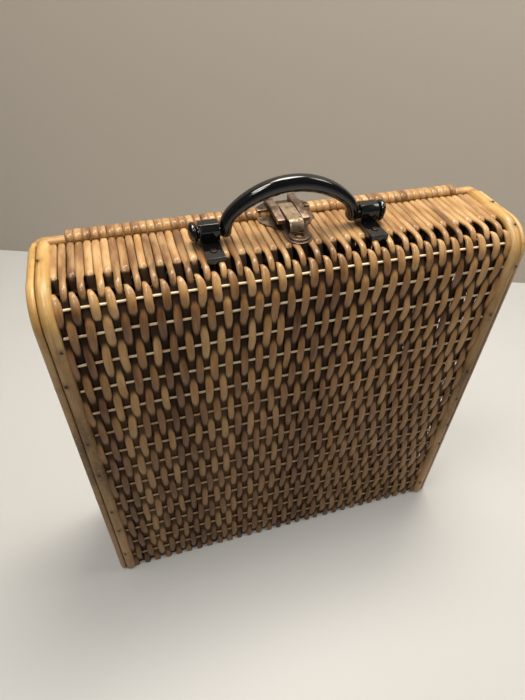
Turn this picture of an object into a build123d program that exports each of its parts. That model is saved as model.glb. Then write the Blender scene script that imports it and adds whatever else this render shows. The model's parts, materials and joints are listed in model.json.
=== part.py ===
from build123d import *
import os
from math import atan2, cos, degrees, radians, sin

# A wicker picnic case that stands on its edge rails: X runs along its length, the tray's
# front faces -Y, the lid closes it at +Y and Z is up. All lengths are in millimetres.

# Case
case_length = 366.4
case_height = 372.0
case_depth = 92.0
lid_depth = 15.4
seam_gap = 0.6
bend_radius = 30.0
lid_bend_radius = 8.0
bend_facets = 5
lid_bend_facets = 3
lid_lift = 4.0
lid_rise = 3.0
mat_lift = 1.5
fit_gap = 0.2

# Woven mats
wall_thickness = 2.4
ridge_height = 2.2
ridge_count = 29
crest_share = 0.36
field_gap = 1.0
gap_width = 4.6
gap_length = 16.0
gap_depth = 16.0
gap_angle = 117.0
skewer_width = 2.2
skewer_thickness = 1.8
skewer_foot = 23.0
skewer_count = 13
first_skewer_drop = 36.0
bend_skewer_angle = 145.0
opening_width = 3.2
opening_share = 0.6
opening_step = 3
opening_columns = 10
opening_rows = 4
lid_opening_rows = 3
end_ridge_count = 6
end_wall_thickness = 2.4
end_border = 6.0

# Cane rails and rims
rail_width = 10.2
rail_thickness = 6.2
cane_rise_shares = (0.26, 0.72, 1.0)
cane_reach_shares = (1.0, 0.8, 0.34)
lid_rail_thickness = 4.6
outer_rail_width = 10.0
outer_rail_bulge = 6.2
outer_rail_inset = 2.5
lid_outer_inset = 1.0
rim_size = 8.0
rim_edge = 2.2
lid_rim_size = 6.2
lid_rim_gap = 0.4
lid_rail_drop = 12.0
lid_cane_radius = 5.0
lid_cane_sides = 12
lid_cane_drop = 0.6

# Carrying handle
grip_half_width = 54.5
grip_rise = 36.9
grip_corner_share = 0.66
grip_thickness = 12.5
arm_thickness = 9.0
inner_corner_share = 0.58
grip_depth = 11.0
grip_edge = 2.6
arm_drop = 4.6
pivot_share = 0.598
pivot_height = 8.6
pivot_radius = 3.6
pivot_play = 0.15
button_inset = 1.0
button_radius = 8.0
button_lift = 1.5
button_thickness = 6.4
button_sides = 12
button_taper = 12.0

# Handle brackets
arm_gap = 0.8
barrel_length = 14.6
barrel_depth = 15.0
barrel_height = 17.0
barrel_round = 3.8
strap_width = 13.6
strap_thickness = 3.6
strap_angle = 19.0
rivet_share = 0.98
rivet_head_radius = 2.9
rivet_head_height = 1.0
rivet_sides = 12
rivet_taper = 20.0

# Latch
latch_shift = 4.5
plate_thickness = 1.0
catch_half_width = 22.8
catch_wing_depth = 9.0
catch_neck_share = 0.52
catch_tail_share = 0.8
catch_tail_radius = 10.0
eyelet_radius = 8.0
eyelet_height = 1.6
eyelet_hole_radius = 3.6
eyelet_sides = 16
hasp_half_width = 22.0
hasp_margin = 0.8
hasp_depth = 12.6
cheek_inner = 6.8
cheek_outer = 13.2
cheek_share = 0.52
cheek_thickness = 3.2
lug_height = 5.2
lug_length = 9.0
tongue_half_width = 5.8
tongue_thickness = 1.8
tongue_pivot_set = -1.5
tongue_pivot_rise = 2.6
tongue_knuckle_radius = 2.2
tongue_pin_radius = 1.1
tongue_play = 0.15
tongue_bend_share = 0.61
tongue_bend_radius = 5.0
nose_clearance = 0.4

# Hinges at the bottom seam
hinge_x = 110.0
hinge_length = 32.0
hinge_share = 0.26
hinge_axis_z = 2.0
knuckle_radius = 1.8
hinge_pin_radius = 0.9
hinge_play = 0.12
knuckle_sides = 8
leaf_margin = 0.6
leaf_thickness = 1.0
leaf_play = 0.3

half_length = case_length / 2
front_y = -case_depth / 2
back_y = case_depth / 2
lid_face_y = back_y - lid_depth
seam_y = lid_face_y - seam_gap
hinge_y = seam_y + seam_gap / 2
lid_top = case_height + lid_rise
mat_depth = rail_thickness + wall_thickness
crest_depth = rail_thickness - ridge_height
lid_mat_depth = lid_rail_thickness + wall_thickness
lid_crest_depth = lid_rail_thickness - ridge_height
field_half = half_length - rail_width - field_gap
ridge_pitch = 2 * field_half / ridge_count
crest_width = crest_share * ridge_pitch
bend_y = front_y + bend_radius
bend_z = case_height - bend_radius
top_crest = case_height - crest_depth
lid_crest = lid_top - lid_crest_depth
lid_rail_top = lid_top - lid_rail_drop
pivot_z = top_crest + pivot_height
top_flat = seam_y - bend_y
pivot_y = seam_y - pivot_share * top_flat
rivet_y = seam_y - rivet_share * top_flat
catch_neck_y = seam_y - catch_neck_share * top_flat
catch_tail_y = seam_y - catch_tail_share * top_flat
cheek_front_y = seam_y - cheek_share * top_flat
tongue_bend_y = seam_y - tongue_bend_share * top_flat
tongue_pivot_y = lid_face_y + tongue_pivot_set
grip_inner_half_width = grip_half_width - arm_thickness
grip_inner_rise = grip_rise - grip_thickness
grip_corner = grip_corner_share * grip_rise
grip_inner_corner = inner_corner_share * grip_inner_rise
bracket_x = grip_half_width + arm_gap + barrel_length / 2
end_inner_x = half_length - ridge_height - end_wall_thickness
rail_x = half_length - rail_width / 2

os.makedirs("parts", exist_ok=True)


def bend_points(center, radius, start, turn, facets):
    """Points round a bend, at equal steps from one flat run to the next."""
    angles = [radians(start + turn * step / facets) for step in range(facets + 1)]
    return [(center[0] + radius * cos(angle), center[1] + radius * sin(angle)) for angle in angles]


def tray_run(depth, end, plane=Plane.YZ):
    """The tray's wrap from the top seam over the bend and down the front, this deep under the crown."""
    bend = bend_points((bend_y, bend_z), bend_radius - depth, 90, 90, bend_facets)
    with BuildLine(plane) as run:
        Polyline((seam_y, case_height - depth), *bend, (front_y + depth, end))
    return run


def lid_run(depth):
    """The lid's wrap from the top seam over its rim and down the back, this deep under the crown."""
    center = (back_y - lid_bend_radius, lid_top - lid_bend_radius)
    bend = bend_points(center, lid_bend_radius - depth, 90, -90, lid_bend_facets)
    with BuildLine(Plane.YZ) as run:
        Polyline((lid_face_y, lid_top - depth), *bend, (back_y - depth, lid_lift))
    return run


def mat_outline(valley, inner, half, crest):
    """A mat cut across its rods: flat inside, a ridge for each raised rod outside."""
    points = [(-half, -inner), (-half, -valley), (-field_half, -valley)]
    for index in range(ridge_count):
        middle = -field_half + (index + 0.5) * ridge_pitch
        points.append((middle - crest / 2, ridge_height - valley))
        points.append((middle + crest / 2, ridge_height - valley))
        points.append((middle + ridge_pitch / 2, -valley))
    points.append((half, -valley))
    points.append((half, -inner))
    return points


def half_round(width, height):
    """Half of a split cane, whittled in flats: a back on the local X axis and a crowned front."""
    rises = [rise * height for rise in cane_rise_shares]
    reaches = [reach * width / 2 for reach in cane_reach_shares]
    points = [(-width / 2, 0)]
    points += [(-reach, rise) for reach, rise in zip(reaches, rises)]
    points += [(reach, rise) for reach, rise in zip(reversed(reaches), reversed(rises))]
    points.append((width / 2, 0))
    return points


def arch(half, rise, corner):
    """A handle's outline: two upright arms, a tight arc over each and a slack one across the top."""
    crown = (half * half + rise * rise - 2 * half * corner) / (2 * (rise - corner))
    turn = degrees(atan2(crown - rise, half - corner))
    Line((-half, pivot_z), (-half, pivot_z - arm_drop))
    Line((-half, pivot_z - arm_drop), (half, pivot_z - arm_drop))
    Line((half, pivot_z - arm_drop), (half, pivot_z))
    CenterArc((half - corner, pivot_z), corner, 0, turn)
    CenterArc((0, pivot_z + rise - crown), crown, turn, 180 - 2 * turn)
    CenterArc((corner - half, pivot_z), corner, 180 - turn, turn)


def save(piece, name):
    piece.part.label = name
    export_step(piece.part, "parts/" + name + ".step")


# The thin cross strips' places, and open spots in every third hollow between raised rods, midway
# between two strips.
skewer_depth = rail_thickness - skewer_thickness / 2
skewer_length = 2 * (field_half + field_gap / 2)
skewer_top = case_height - first_skewer_drop
skewer_pitch = (skewer_top - skewer_foot) / (skewer_count - 1)
opening_length = opening_share * skewer_pitch
opening_spacing = opening_step * ridge_pitch
opening_z = (skewer_top + skewer_foot) / 2 + skewer_pitch / 2
opening_rise = opening_step * skewer_pitch

# The tray's mat: one woven sheet bent from the top down the front, with open gaps at the bend.
tray_start = Plane(origin=(0, seam_y, case_height), x_dir=(1, 0, 0), z_dir=(0, -1, 0))
with BuildPart() as tray_weave:
    with BuildSketch(tray_start):
        with BuildLine():
            Polyline(*mat_outline(rail_thickness, mat_depth, half_length, crest_width), close=True)
        make_face()
    sweep(path=tray_run(rail_thickness, mat_lift).wire(), transition=Transition.RIGHT)
    gap_direction = Vector(0, cos(radians(gap_angle)), sin(radians(gap_angle)))
    gap_plane = Plane(origin=(0, bend_y, bend_z), x_dir=(1, 0, 0), z_dir=gap_direction)
    with BuildSketch(gap_plane.offset(bend_radius - gap_depth)):
        with GridLocations(ridge_pitch, 0, ridge_count - 1, 1):
            Rectangle(gap_width, gap_length)
    extrude(amount=gap_depth, mode=Mode.SUBTRACT)
    with BuildSketch(Plane.XZ.offset(-front_y)):
        with Locations((0, opening_z)):
            with GridLocations(opening_spacing, opening_rise, opening_columns, opening_rows):
                Rectangle(opening_width, opening_length)
    extrude(amount=-gap_depth, mode=Mode.SUBTRACT)
save(tray_weave, "tray_weave")

# Thin cross strips held by the tray's rods, the highest of them on the bend.
with BuildPart() as tray_skewers:
    for index in range(skewer_count):
        with Locations((0, front_y + skewer_depth, skewer_top - index * skewer_pitch)):
            Box(skewer_length, skewer_thickness, skewer_width)
    with Locations(Location((0, bend_y, bend_z), (bend_skewer_angle - 180, 0, 0))):
        with Locations((0, skewer_depth - bend_radius, 0)):
            Box(skewer_length, skewer_thickness, skewer_width)
save(tray_skewers, "tray_skewers")

# The tray's floor: a flat mat behind the foot of the bent one, its rods running front to back.
floor_front = front_y + mat_depth + fit_gap
floor_start = Plane(origin=(0, floor_front, 0), x_dir=(-1, 0, 0), z_dir=(0, 1, 0))
with BuildPart() as tray_floor:
    with BuildSketch(floor_start):
        with BuildLine():
            Polyline(
                *[(x, -y) for x, y in mat_outline(rail_thickness, mat_depth, half_length, crest_width)],
                close=True,
            )
        make_face()
    extrude(amount=seam_y - floor_front)
save(tray_floor, "tray_floor")

# Split canes nailed over the mat's two edges, and straight ones under the floor to stand on.
for side, name in ((-1, "left"), (1, "right")):
    edge_start = Plane(
        origin=(side * rail_x, seam_y, case_height - rail_thickness),
        x_dir=(1, 0, 0),
        z_dir=(0, -1, 0),
    )
    edge_path = tray_run(rail_thickness, 0).wire().moved(Location((side * rail_x, 0, 0)))
    with BuildPart() as edge_rail:
        with BuildSketch(edge_start):
            with BuildLine():
                Polyline(*half_round(rail_width, rail_thickness), close=True)
            make_face()
        sweep(path=edge_path, transition=Transition.RIGHT)
    save(edge_rail, name + "_edge_rail")
    foot_start = Plane(
        origin=(side * rail_x, floor_front, rail_thickness), x_dir=(1, 0, 0), z_dir=(0, 1, 0)
    )
    with BuildPart() as foot_rail:
        with BuildSketch(foot_start):
            with BuildLine():
                Polyline(*half_round(rail_width, rail_thickness), close=True)
            make_face()
        extrude(amount=seam_y - floor_front)
    save(foot_rail, name + "_foot_rail")

# Rounder canes outside them along the tray's two ends, and sills below.
for side, name in ((-1, "left"), (1, "right")):
    side_depth = outer_rail_inset + outer_rail_width / 2
    side_start = Plane(
        origin=(side * half_length, seam_y, case_height - side_depth),
        x_dir=(0, 0, -side),
        z_dir=(0, -1, 0),
    )
    side_path = tray_run(side_depth, 0).wire().moved(Location((side * half_length, 0, 0)))
    with BuildPart() as side_rail:
        with BuildSketch(side_start):
            with BuildLine():
                Polyline(*half_round(outer_rail_width, outer_rail_bulge), close=True)
            make_face()
        sweep(path=side_path, transition=Transition.RIGHT)
    save(side_rail, name + "_side_rail")
    sill_front = front_y + outer_rail_inset + outer_rail_width + fit_gap
    sill_start = Plane(
        origin=(side * half_length, sill_front, side_depth), x_dir=(0, 0, side), z_dir=(0, 1, 0)
    )
    with BuildPart() as side_sill:
        with BuildSketch(sill_start):
            with BuildLine():
                Polyline(*half_round(outer_rail_width, outer_rail_bulge), close=True)
            make_face()
        extrude(amount=seam_y - sill_front)
    save(side_sill, name + "_side_sill")

# The tray's two ends: upright rods between the canes, inside the bent mat.
end_low = front_y + mat_depth + end_border
end_pitch = (seam_y - end_border - end_low) / end_ridge_count
end_crest = crest_share * end_pitch / 2
end_valley_x = end_inner_x + end_wall_thickness
end_points = [(end_inner_x, front_y), (end_valley_x, front_y)]
for index in range(end_ridge_count):
    middle = end_low + (index + 0.5) * end_pitch
    end_points.append((end_valley_x, middle - end_pitch / 2))
    end_points.append((half_length - fit_gap, middle - end_crest))
    end_points.append((half_length - fit_gap, middle + end_crest))
end_points.append((end_valley_x, end_low + end_ridge_count * end_pitch))
end_points.append((end_valley_x, seam_y))
end_points.append((end_inner_x, seam_y))
end_depth = mat_depth + fit_gap
for side, name in ((-1, "left"), (1, "right")):
    with BuildPart() as end_panel:
        with BuildSketch(Plane.YZ):
            with BuildLine():
                add(tray_run(end_depth, end_depth, Plane.XY))
                Polyline(
                    (front_y + end_depth, end_depth),
                    (seam_y, end_depth),
                    (seam_y, case_height - end_depth),
                )
            make_face()
        extrude(amount=side * half_length)
        with BuildSketch(Plane.XY):
            with BuildLine():
                Polyline(*[(side * x, y) for x, y in end_points], close=True)
            make_face()
        extrude(amount=case_height, mode=Mode.INTERSECT)
    save(end_panel, name + "_end_panel")

# The tray's mouth: four canes inside the walls along the seam.
rim_half = end_inner_x - fit_gap
rim_top = case_height - end_depth
for height, name in ((rim_top - rim_size / 2, "top"), (end_depth + rim_size / 2, "bottom")):
    with BuildPart() as tray_rim:
        with BuildSketch(Plane.YZ.offset(-rim_half)) as rim_section:
            with Locations((seam_y - rim_size / 2, height)):
                Rectangle(rim_size, rim_size)
            chamfer(rim_section.vertices(), length=rim_edge)
        extrude(amount=2 * rim_half)
    save(tray_rim, "tray_rim_" + name)
for side, name in ((-1, "left"), (1, "right")):
    with BuildPart() as tray_post:
        with BuildSketch(Plane.XY.offset(end_depth + rim_size + fit_gap)) as rim_section:
            with Locations((side * (rim_half - rim_size / 2), seam_y - rim_size / 2)):
                Rectangle(rim_size, rim_size)
            chamfer(rim_section.vertices(), length=rim_edge)
        extrude(amount=rim_top - end_depth - 2 * (rim_size + fit_gap))
    save(tray_post, "tray_rim_" + name)

# Brackets that hold the handle: a barrel and a strap bent over the case's edge.
bracket_floor = top_crest + fit_gap / 2
rivet_seat = bracket_floor + strap_thickness
strap_inner = bend_radius - crest_depth + fit_gap / 2
strap_turn = radians(strap_angle)
strap_back = pivot_y - barrel_depth / 2 + barrel_round
strap_front = bend_y - strap_inner * sin(strap_turn)
strap_foot = bend_z + strap_inner * cos(strap_turn)
for side, name in ((-1, "left"), (1, "right")):
    with BuildPart() as handle_bracket:
        with BuildSketch(Plane.YZ.offset(side * bracket_x)):
            with BuildLine():
                Line((strap_back, bracket_floor), (strap_back, rivet_seat))
                Line((strap_back, rivet_seat), (strap_front, rivet_seat))
                Line((strap_front, rivet_seat), (strap_front, strap_foot))
                CenterArc((bend_y, bend_z), strap_inner, 90, strap_angle)
                Line((bend_y, bracket_floor), (strap_back, bracket_floor))
            make_face()
        extrude(amount=strap_width / 2, both=True)
        with BuildSketch(Plane.YZ.offset(side * bracket_x)) as barrel_outline:
            with Locations((pivot_y, bracket_floor + barrel_height / 2)):
                Rectangle(barrel_depth, barrel_height)
            chamfer(barrel_outline.vertices().group_by(Axis.Z)[-1], length=barrel_round)
        extrude(amount=barrel_length / 2, both=True)
        with BuildSketch(Plane.YZ.offset(side * bracket_x)):
            with Locations((pivot_y, pivot_z)):
                Circle(pivot_radius + pivot_play)
        extrude(amount=barrel_length, both=True, mode=Mode.SUBTRACT)
    save(handle_bracket, name + "_handle_bracket")

# A rivet's head on each strap.
with BuildPart() as bracket_rivets:
    with BuildSketch(Plane.XY.offset(rivet_seat)):
        with Locations((-bracket_x, rivet_y), (bracket_x, rivet_y)):
            RegularPolygon(rivet_head_radius, side_count=rivet_sides)
    extrude(amount=rivet_head_height, taper=rivet_taper)
save(bracket_rivets, "bracket_rivets")

# The handle: an arch that is thickest in the grip, its arms turned out into pins with buttons.
button_start = bracket_x + barrel_length / 2 + button_inset
pin_start = (grip_half_width + grip_inner_half_width) / 2
with BuildPart() as carry_handle:
    with BuildSketch(Plane.XZ.offset(-pivot_y)):
        with BuildLine():
            arch(grip_half_width, grip_rise, grip_corner)
        make_face()
        with BuildLine():
            arch(grip_inner_half_width, grip_inner_rise, grip_inner_corner)
        make_face(mode=Mode.SUBTRACT)
    extrude(amount=grip_depth / 2, both=True)
    chamfer(carry_handle.faces().filter_by(Axis.Y).edges(), length=grip_edge)
    for side in (-1, 1):
        with BuildSketch(Plane.YZ.offset(side * pin_start)):
            with Locations((pivot_y, pivot_z)):
                Circle(pivot_radius)
        extrude(amount=side * (button_start - pin_start))
        with BuildSketch(Plane.YZ.offset(side * button_start)):
            with Locations((pivot_y, pivot_z + button_lift)):
                RegularPolygon(button_radius, side_count=button_sides)
        extrude(amount=side * button_thickness, taper=button_taper)
save(carry_handle, "carry_handle")

# The lid's mat: it curls over the top rim and hangs down the back.
lid_start = Plane(origin=(0, lid_face_y, lid_top), x_dir=(-1, 0, 0), z_dir=(0, 1, 0))
lid_corner = half_length - field_half - field_gap
with BuildPart() as lid_weave:
    with BuildSketch(lid_start):
        with BuildLine():
            Polyline(*mat_outline(lid_rail_thickness, lid_mat_depth, half_length, crest_width), close=True)
        make_face()
    sweep(path=lid_run(lid_rail_thickness).wire(), transition=Transition.RIGHT)
    with BuildSketch(Plane.XZ.offset(-back_y)):
        with Locations(
            (lid_corner / 2 - half_length, lid_rail_top + lid_rail_drop / 2),
            (half_length - lid_corner / 2, lid_rail_top + lid_rail_drop / 2),
        ):
            Rectangle(lid_corner, lid_rail_drop)
    extrude(amount=lid_depth, mode=Mode.SUBTRACT)
    with BuildSketch(Plane.XZ.offset(-back_y)):
        with Locations((0, opening_z)):
            with GridLocations(opening_spacing, opening_rise, opening_columns, lid_opening_rows):
                Rectangle(opening_width, opening_length)
    extrude(amount=lid_depth, mode=Mode.SUBTRACT)
save(lid_weave, "lid_weave")

# Cross strips in the lid's back.
lid_skewer_depth = lid_rail_thickness - skewer_thickness / 2
with BuildPart() as lid_skewers:
    for index in range(skewer_count):
        with Locations((0, back_y - lid_skewer_depth, skewer_top - index * skewer_pitch)):
            Box(skewer_length, skewer_thickness, skewer_width)
save(lid_skewers, "lid_skewers")

# The lid's canes: split ones over the mat's two edges down the back, rounder ones beside them.
lid_rail_plane = Plane.XY.offset(lid_lift)
lid_side_y = back_y - lid_outer_inset - outer_rail_width / 2
for side, name in ((-1, "left"), (1, "right")):
    with BuildPart() as lid_edge_rail:
        with BuildSketch(lid_rail_plane):
            with BuildLine():
                Polyline(
                    *[
                        (side * rail_x + x, back_y - lid_rail_thickness + y)
                        for x, y in half_round(rail_width, lid_rail_thickness)
                    ],
                    close=True,
                )
            make_face()
        extrude(amount=lid_rail_top - lid_lift)
    save(lid_edge_rail, "lid_" + name + "_edge_rail")
    with BuildPart() as lid_side_rail:
        with BuildSketch(lid_rail_plane):
            with BuildLine():
                Polyline(
                    *[
                        (side * (half_length + y), lid_side_y + x)
                        for x, y in half_round(outer_rail_width, outer_rail_bulge)
                    ],
                    close=True,
                )
            make_face()
        extrude(amount=lid_rail_top - lid_lift)
    save(lid_side_rail, "lid_" + name + "_side_rail")

# The lid's frame: four canes behind the mat round its edge. The top one ends in thick bare canes.
lid_rim_y = lid_face_y + lid_rim_size / 2
lid_rim_top = lid_top - lid_mat_depth - lid_rim_gap
lid_cane_y = lid_face_y + lid_cane_radius
lid_cane_z = lid_crest - lid_cane_drop - lid_cane_radius
lid_cane_length = lid_corner - fit_gap
for height, name in ((lid_rim_top - lid_rim_size / 2, "top"), (lid_lift + lid_rim_size / 2, "bottom")):
    with BuildPart() as lid_rim:
        with BuildSketch(Plane.YZ.offset(-half_length)) as rim_section:
            with Locations((lid_rim_y, height)):
                Rectangle(lid_rim_size, lid_rim_size)
            chamfer(rim_section.vertices(), length=rim_edge)
        extrude(amount=2 * half_length)
        if name == "top":
            for side in (-1, 1):
                with BuildSketch(Plane.YZ.offset(side * half_length)):
                    with Locations((lid_cane_y, lid_cane_z)):
                        RegularPolygon(lid_cane_radius, side_count=lid_cane_sides)
                extrude(amount=-side * lid_cane_length)
    save(lid_rim, "lid_rim_" + name)
for side, name in ((-1, "left"), (1, "right")):
    with BuildPart() as lid_stile:
        with BuildSketch(Plane.XY.offset(lid_lift + lid_rim_size + fit_gap)) as rim_section:
            with Locations((side * (half_length - lid_rim_size / 2), lid_rim_y)):
                Rectangle(lid_rim_size, lid_rim_size)
            chamfer(rim_section.vertices(), length=rim_edge)
        extrude(amount=lid_rim_top - lid_lift - 2 * (lid_rim_size + fit_gap))
    save(lid_stile, "lid_rim_" + name)

# The latch's catch: a plate nailed to the tray's top with a raised eyelet in its tail.
catch_floor = top_crest + fit_gap / 2
catch_top = catch_floor + plate_thickness
catch_back = seam_y - fit_gap
latch_level = Plane(origin=(latch_shift, 0, 0))
with BuildPart() as catch_plate:
    with BuildSketch(latch_level.offset(catch_floor)):
        with BuildLine():
            Polyline(
                (-catch_half_width, catch_back),
                (catch_half_width, catch_back),
                (catch_half_width, catch_back - catch_wing_depth),
                (catch_tail_radius, catch_neck_y),
                (catch_tail_radius, catch_tail_y),
                (-catch_tail_radius, catch_tail_y),
                (-catch_tail_radius, catch_neck_y),
                (-catch_half_width, catch_back - catch_wing_depth),
                close=True,
            )
        make_face()
        with Locations((0, catch_tail_y)):
            Circle(catch_tail_radius)
    extrude(amount=plate_thickness)
    with BuildSketch(latch_level.offset(catch_top)):
        with Locations((0, catch_tail_y)):
            RegularPolygon(eyelet_radius, side_count=eyelet_sides)
    extrude(amount=eyelet_height)
    with BuildSketch(latch_level.offset(catch_floor)):
        with Locations((0, catch_tail_y)):
            RegularPolygon(eyelet_hole_radius, side_count=eyelet_sides)
    extrude(amount=plate_thickness + eyelet_height, mode=Mode.SUBTRACT)
save(catch_plate, "catch_plate")

# The hasp on the lid's rim: wings, and two cheeks that hold the pin and reach down over the seam.
hasp_floor = lid_crest + fit_gap / 2
hasp_top = hasp_floor + plate_thickness
hasp_back = lid_face_y + hasp_margin + hasp_depth
tongue_z = hasp_top + tongue_pivot_rise
lug_top = hasp_top + lug_height
cheek_middle = (cheek_inner + cheek_outer) / 2
cheek_width = cheek_outer - cheek_inner
with BuildPart() as hasp_plate:
    with BuildSketch(latch_level.offset(hasp_floor)):
        with BuildLine():
            Polyline(
                (-hasp_half_width, lid_face_y + hasp_margin),
                (hasp_half_width, lid_face_y + hasp_margin),
                (hasp_half_width, lid_face_y + hasp_depth / 2),
                (cheek_outer, hasp_back),
                (-cheek_outer, hasp_back),
                (-hasp_half_width, lid_face_y + hasp_depth / 2),
                close=True,
            )
        make_face()
    extrude(amount=plate_thickness)
    for side in (-1, 1):
        with BuildSketch(Plane.YZ.offset(latch_shift + side * cheek_middle)):
            with BuildLine():
                Polyline(
                    (hasp_back, hasp_top),
                    (hasp_back, lug_top),
                    (tongue_pivot_y - lug_length / 2, lug_top),
                    (cheek_front_y, hasp_top + cheek_thickness),
                    (cheek_front_y, hasp_top),
                    close=True,
                )
            make_face()
        extrude(amount=cheek_width / 2, both=True)
save(hasp_plate, "hasp_plate")
with BuildPart() as latch_pin:
    with BuildSketch(Plane.YZ.offset(latch_shift - cheek_outer)):
        with Locations((tongue_pivot_y, tongue_z)):
            Circle(tongue_pin_radius)
    extrude(amount=2 * cheek_outer)
save(latch_pin, "latch_pin")

# The tongue: a strap that turns on the pin and bends down over the eyelet.
nose_z = catch_top + eyelet_height + nose_clearance
strap_top = tongue_z + tongue_knuckle_radius
bend_center_z = strap_top - tongue_bend_radius
bend_inner = tongue_bend_radius - tongue_thickness
strap_under = strap_top - tongue_thickness
nose_front_y = tongue_bend_y - tongue_bend_radius
nose_back_y = tongue_bend_y - bend_inner
with BuildPart() as latch_tongue:
    with BuildSketch(Plane.YZ.offset(latch_shift - tongue_half_width)):
        with BuildLine():
            Line((tongue_pivot_y, strap_top), (tongue_bend_y, strap_top))
            CenterArc((tongue_bend_y, bend_center_z), tongue_bend_radius, 90, 90)
            Line((nose_front_y, bend_center_z), (nose_front_y, nose_z))
            Line((nose_front_y, nose_z), (nose_back_y, nose_z))
            Line((nose_back_y, nose_z), (nose_back_y, bend_center_z))
            CenterArc((tongue_bend_y, bend_center_z), bend_inner, 90, 90)
            Line((tongue_bend_y, strap_under), (tongue_pivot_y, strap_under))
            Line((tongue_pivot_y, strap_under), (tongue_pivot_y, strap_top))
        make_face()
        with Locations((tongue_pivot_y, tongue_z)):
            RegularPolygon(tongue_knuckle_radius, side_count=knuckle_sides, major_radius=False)
            Circle(tongue_pin_radius + tongue_play, mode=Mode.SUBTRACT)
    extrude(amount=2 * tongue_half_width)
save(latch_tongue, "latch_tongue")

# Butt hinges under the seam: the tray's leaf carries the pin, the lid's leaf turns on it.
outer_knuckle = hinge_share * hinge_length
lid_knuckle = hinge_length - 2 * (outer_knuckle + leaf_play)
leaf_floor = crest_depth - leaf_thickness
leaf_clear = knuckle_radius + leaf_play
leaf_depth = lid_depth - leaf_clear - leaf_margin
for side, name in ((-1, "left"), (1, "right")):
    first_x = side * hinge_x - hinge_length / 2
    last_x = side * hinge_x + hinge_length / 2
    with BuildPart() as tray_leaf:
        with BuildSketch(Plane.XY.offset(leaf_floor)):
            with Locations((side * hinge_x, hinge_y - leaf_clear - leaf_depth / 2)):
                Rectangle(hinge_length, leaf_depth)
            with Locations(
                (first_x + outer_knuckle / 2, hinge_y - leaf_clear / 2),
                (last_x - outer_knuckle / 2, hinge_y - leaf_clear / 2),
            ):
                Rectangle(outer_knuckle, leaf_clear)
        extrude(amount=leaf_thickness - fit_gap / 2)
        with BuildSketch(Plane.YZ.offset(first_x)):
            with Locations((hinge_y, hinge_axis_z)):
                RegularPolygon(knuckle_radius, side_count=knuckle_sides)
        extrude(amount=outer_knuckle)
        with BuildSketch(Plane.YZ.offset(last_x)):
            with Locations((hinge_y, hinge_axis_z)):
                RegularPolygon(knuckle_radius, side_count=knuckle_sides)
        extrude(amount=-outer_knuckle)
        with BuildSketch(Plane.YZ.offset(first_x + outer_knuckle)):
            with Locations((hinge_y, hinge_axis_z)):
                Circle(hinge_pin_radius)
        extrude(amount=hinge_length - 2 * outer_knuckle)
    save(tray_leaf, name + "_tray_leaf")
    with BuildPart() as lid_leaf:
        with BuildSketch(Plane.XY.offset(leaf_floor)):
            with Locations((side * hinge_x, hinge_y + leaf_clear + leaf_depth / 2)):
                Rectangle(hinge_length, leaf_depth)
            with Locations((side * hinge_x, hinge_y + leaf_clear / 2)):
                Rectangle(lid_knuckle, leaf_clear)
        extrude(amount=leaf_thickness - fit_gap / 2)
        with BuildSketch(Plane.YZ.offset(side * hinge_x - lid_knuckle / 2)):
            with Locations((hinge_y, hinge_axis_z)):
                RegularPolygon(knuckle_radius, side_count=knuckle_sides)
        extrude(amount=lid_knuckle)
        with BuildSketch(Plane.YZ.offset(side * hinge_x - lid_knuckle / 2)):
            with Locations((hinge_y, hinge_axis_z)):
                Circle(hinge_pin_radius + hinge_play)
        extrude(amount=lid_knuckle, mode=Mode.SUBTRACT)
    save(lid_leaf, name + "_lid_leaf")
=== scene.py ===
"""Looks of a wicker picnic case: woven rods over pale strips, cane rails, a black handle and a latch."""

import json
import math
import random

import bmesh
import bpy
from mathutils import Matrix, Vector
from mathutils.kdtree import KDTree


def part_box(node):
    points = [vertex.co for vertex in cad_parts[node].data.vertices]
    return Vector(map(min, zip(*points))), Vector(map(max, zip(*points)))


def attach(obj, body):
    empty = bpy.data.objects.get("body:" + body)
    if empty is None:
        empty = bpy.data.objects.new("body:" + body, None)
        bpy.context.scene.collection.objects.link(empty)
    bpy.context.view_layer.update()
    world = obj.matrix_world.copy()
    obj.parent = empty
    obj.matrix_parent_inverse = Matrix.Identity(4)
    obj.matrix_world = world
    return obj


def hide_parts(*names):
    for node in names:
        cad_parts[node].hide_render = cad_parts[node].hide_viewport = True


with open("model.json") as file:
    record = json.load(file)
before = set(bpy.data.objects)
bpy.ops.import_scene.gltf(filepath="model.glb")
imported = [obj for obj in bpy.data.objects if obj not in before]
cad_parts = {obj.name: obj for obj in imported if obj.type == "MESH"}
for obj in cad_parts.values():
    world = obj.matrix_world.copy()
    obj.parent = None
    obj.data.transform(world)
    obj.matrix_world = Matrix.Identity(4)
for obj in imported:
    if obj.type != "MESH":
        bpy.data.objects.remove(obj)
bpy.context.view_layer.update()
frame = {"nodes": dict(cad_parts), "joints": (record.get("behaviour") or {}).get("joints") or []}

bl_info = {
    "name": "Wicker Picnic Case",
    "version": (1, 0, 0),
    "blender": (4, 5, 0),
    "location": "View3D > Sidebar > Picnic Case",
    "description": "Dresses a picnic case's frame in woven rods, split cane, moulded plastic and bronze",
    "category": "Object",
}

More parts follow.
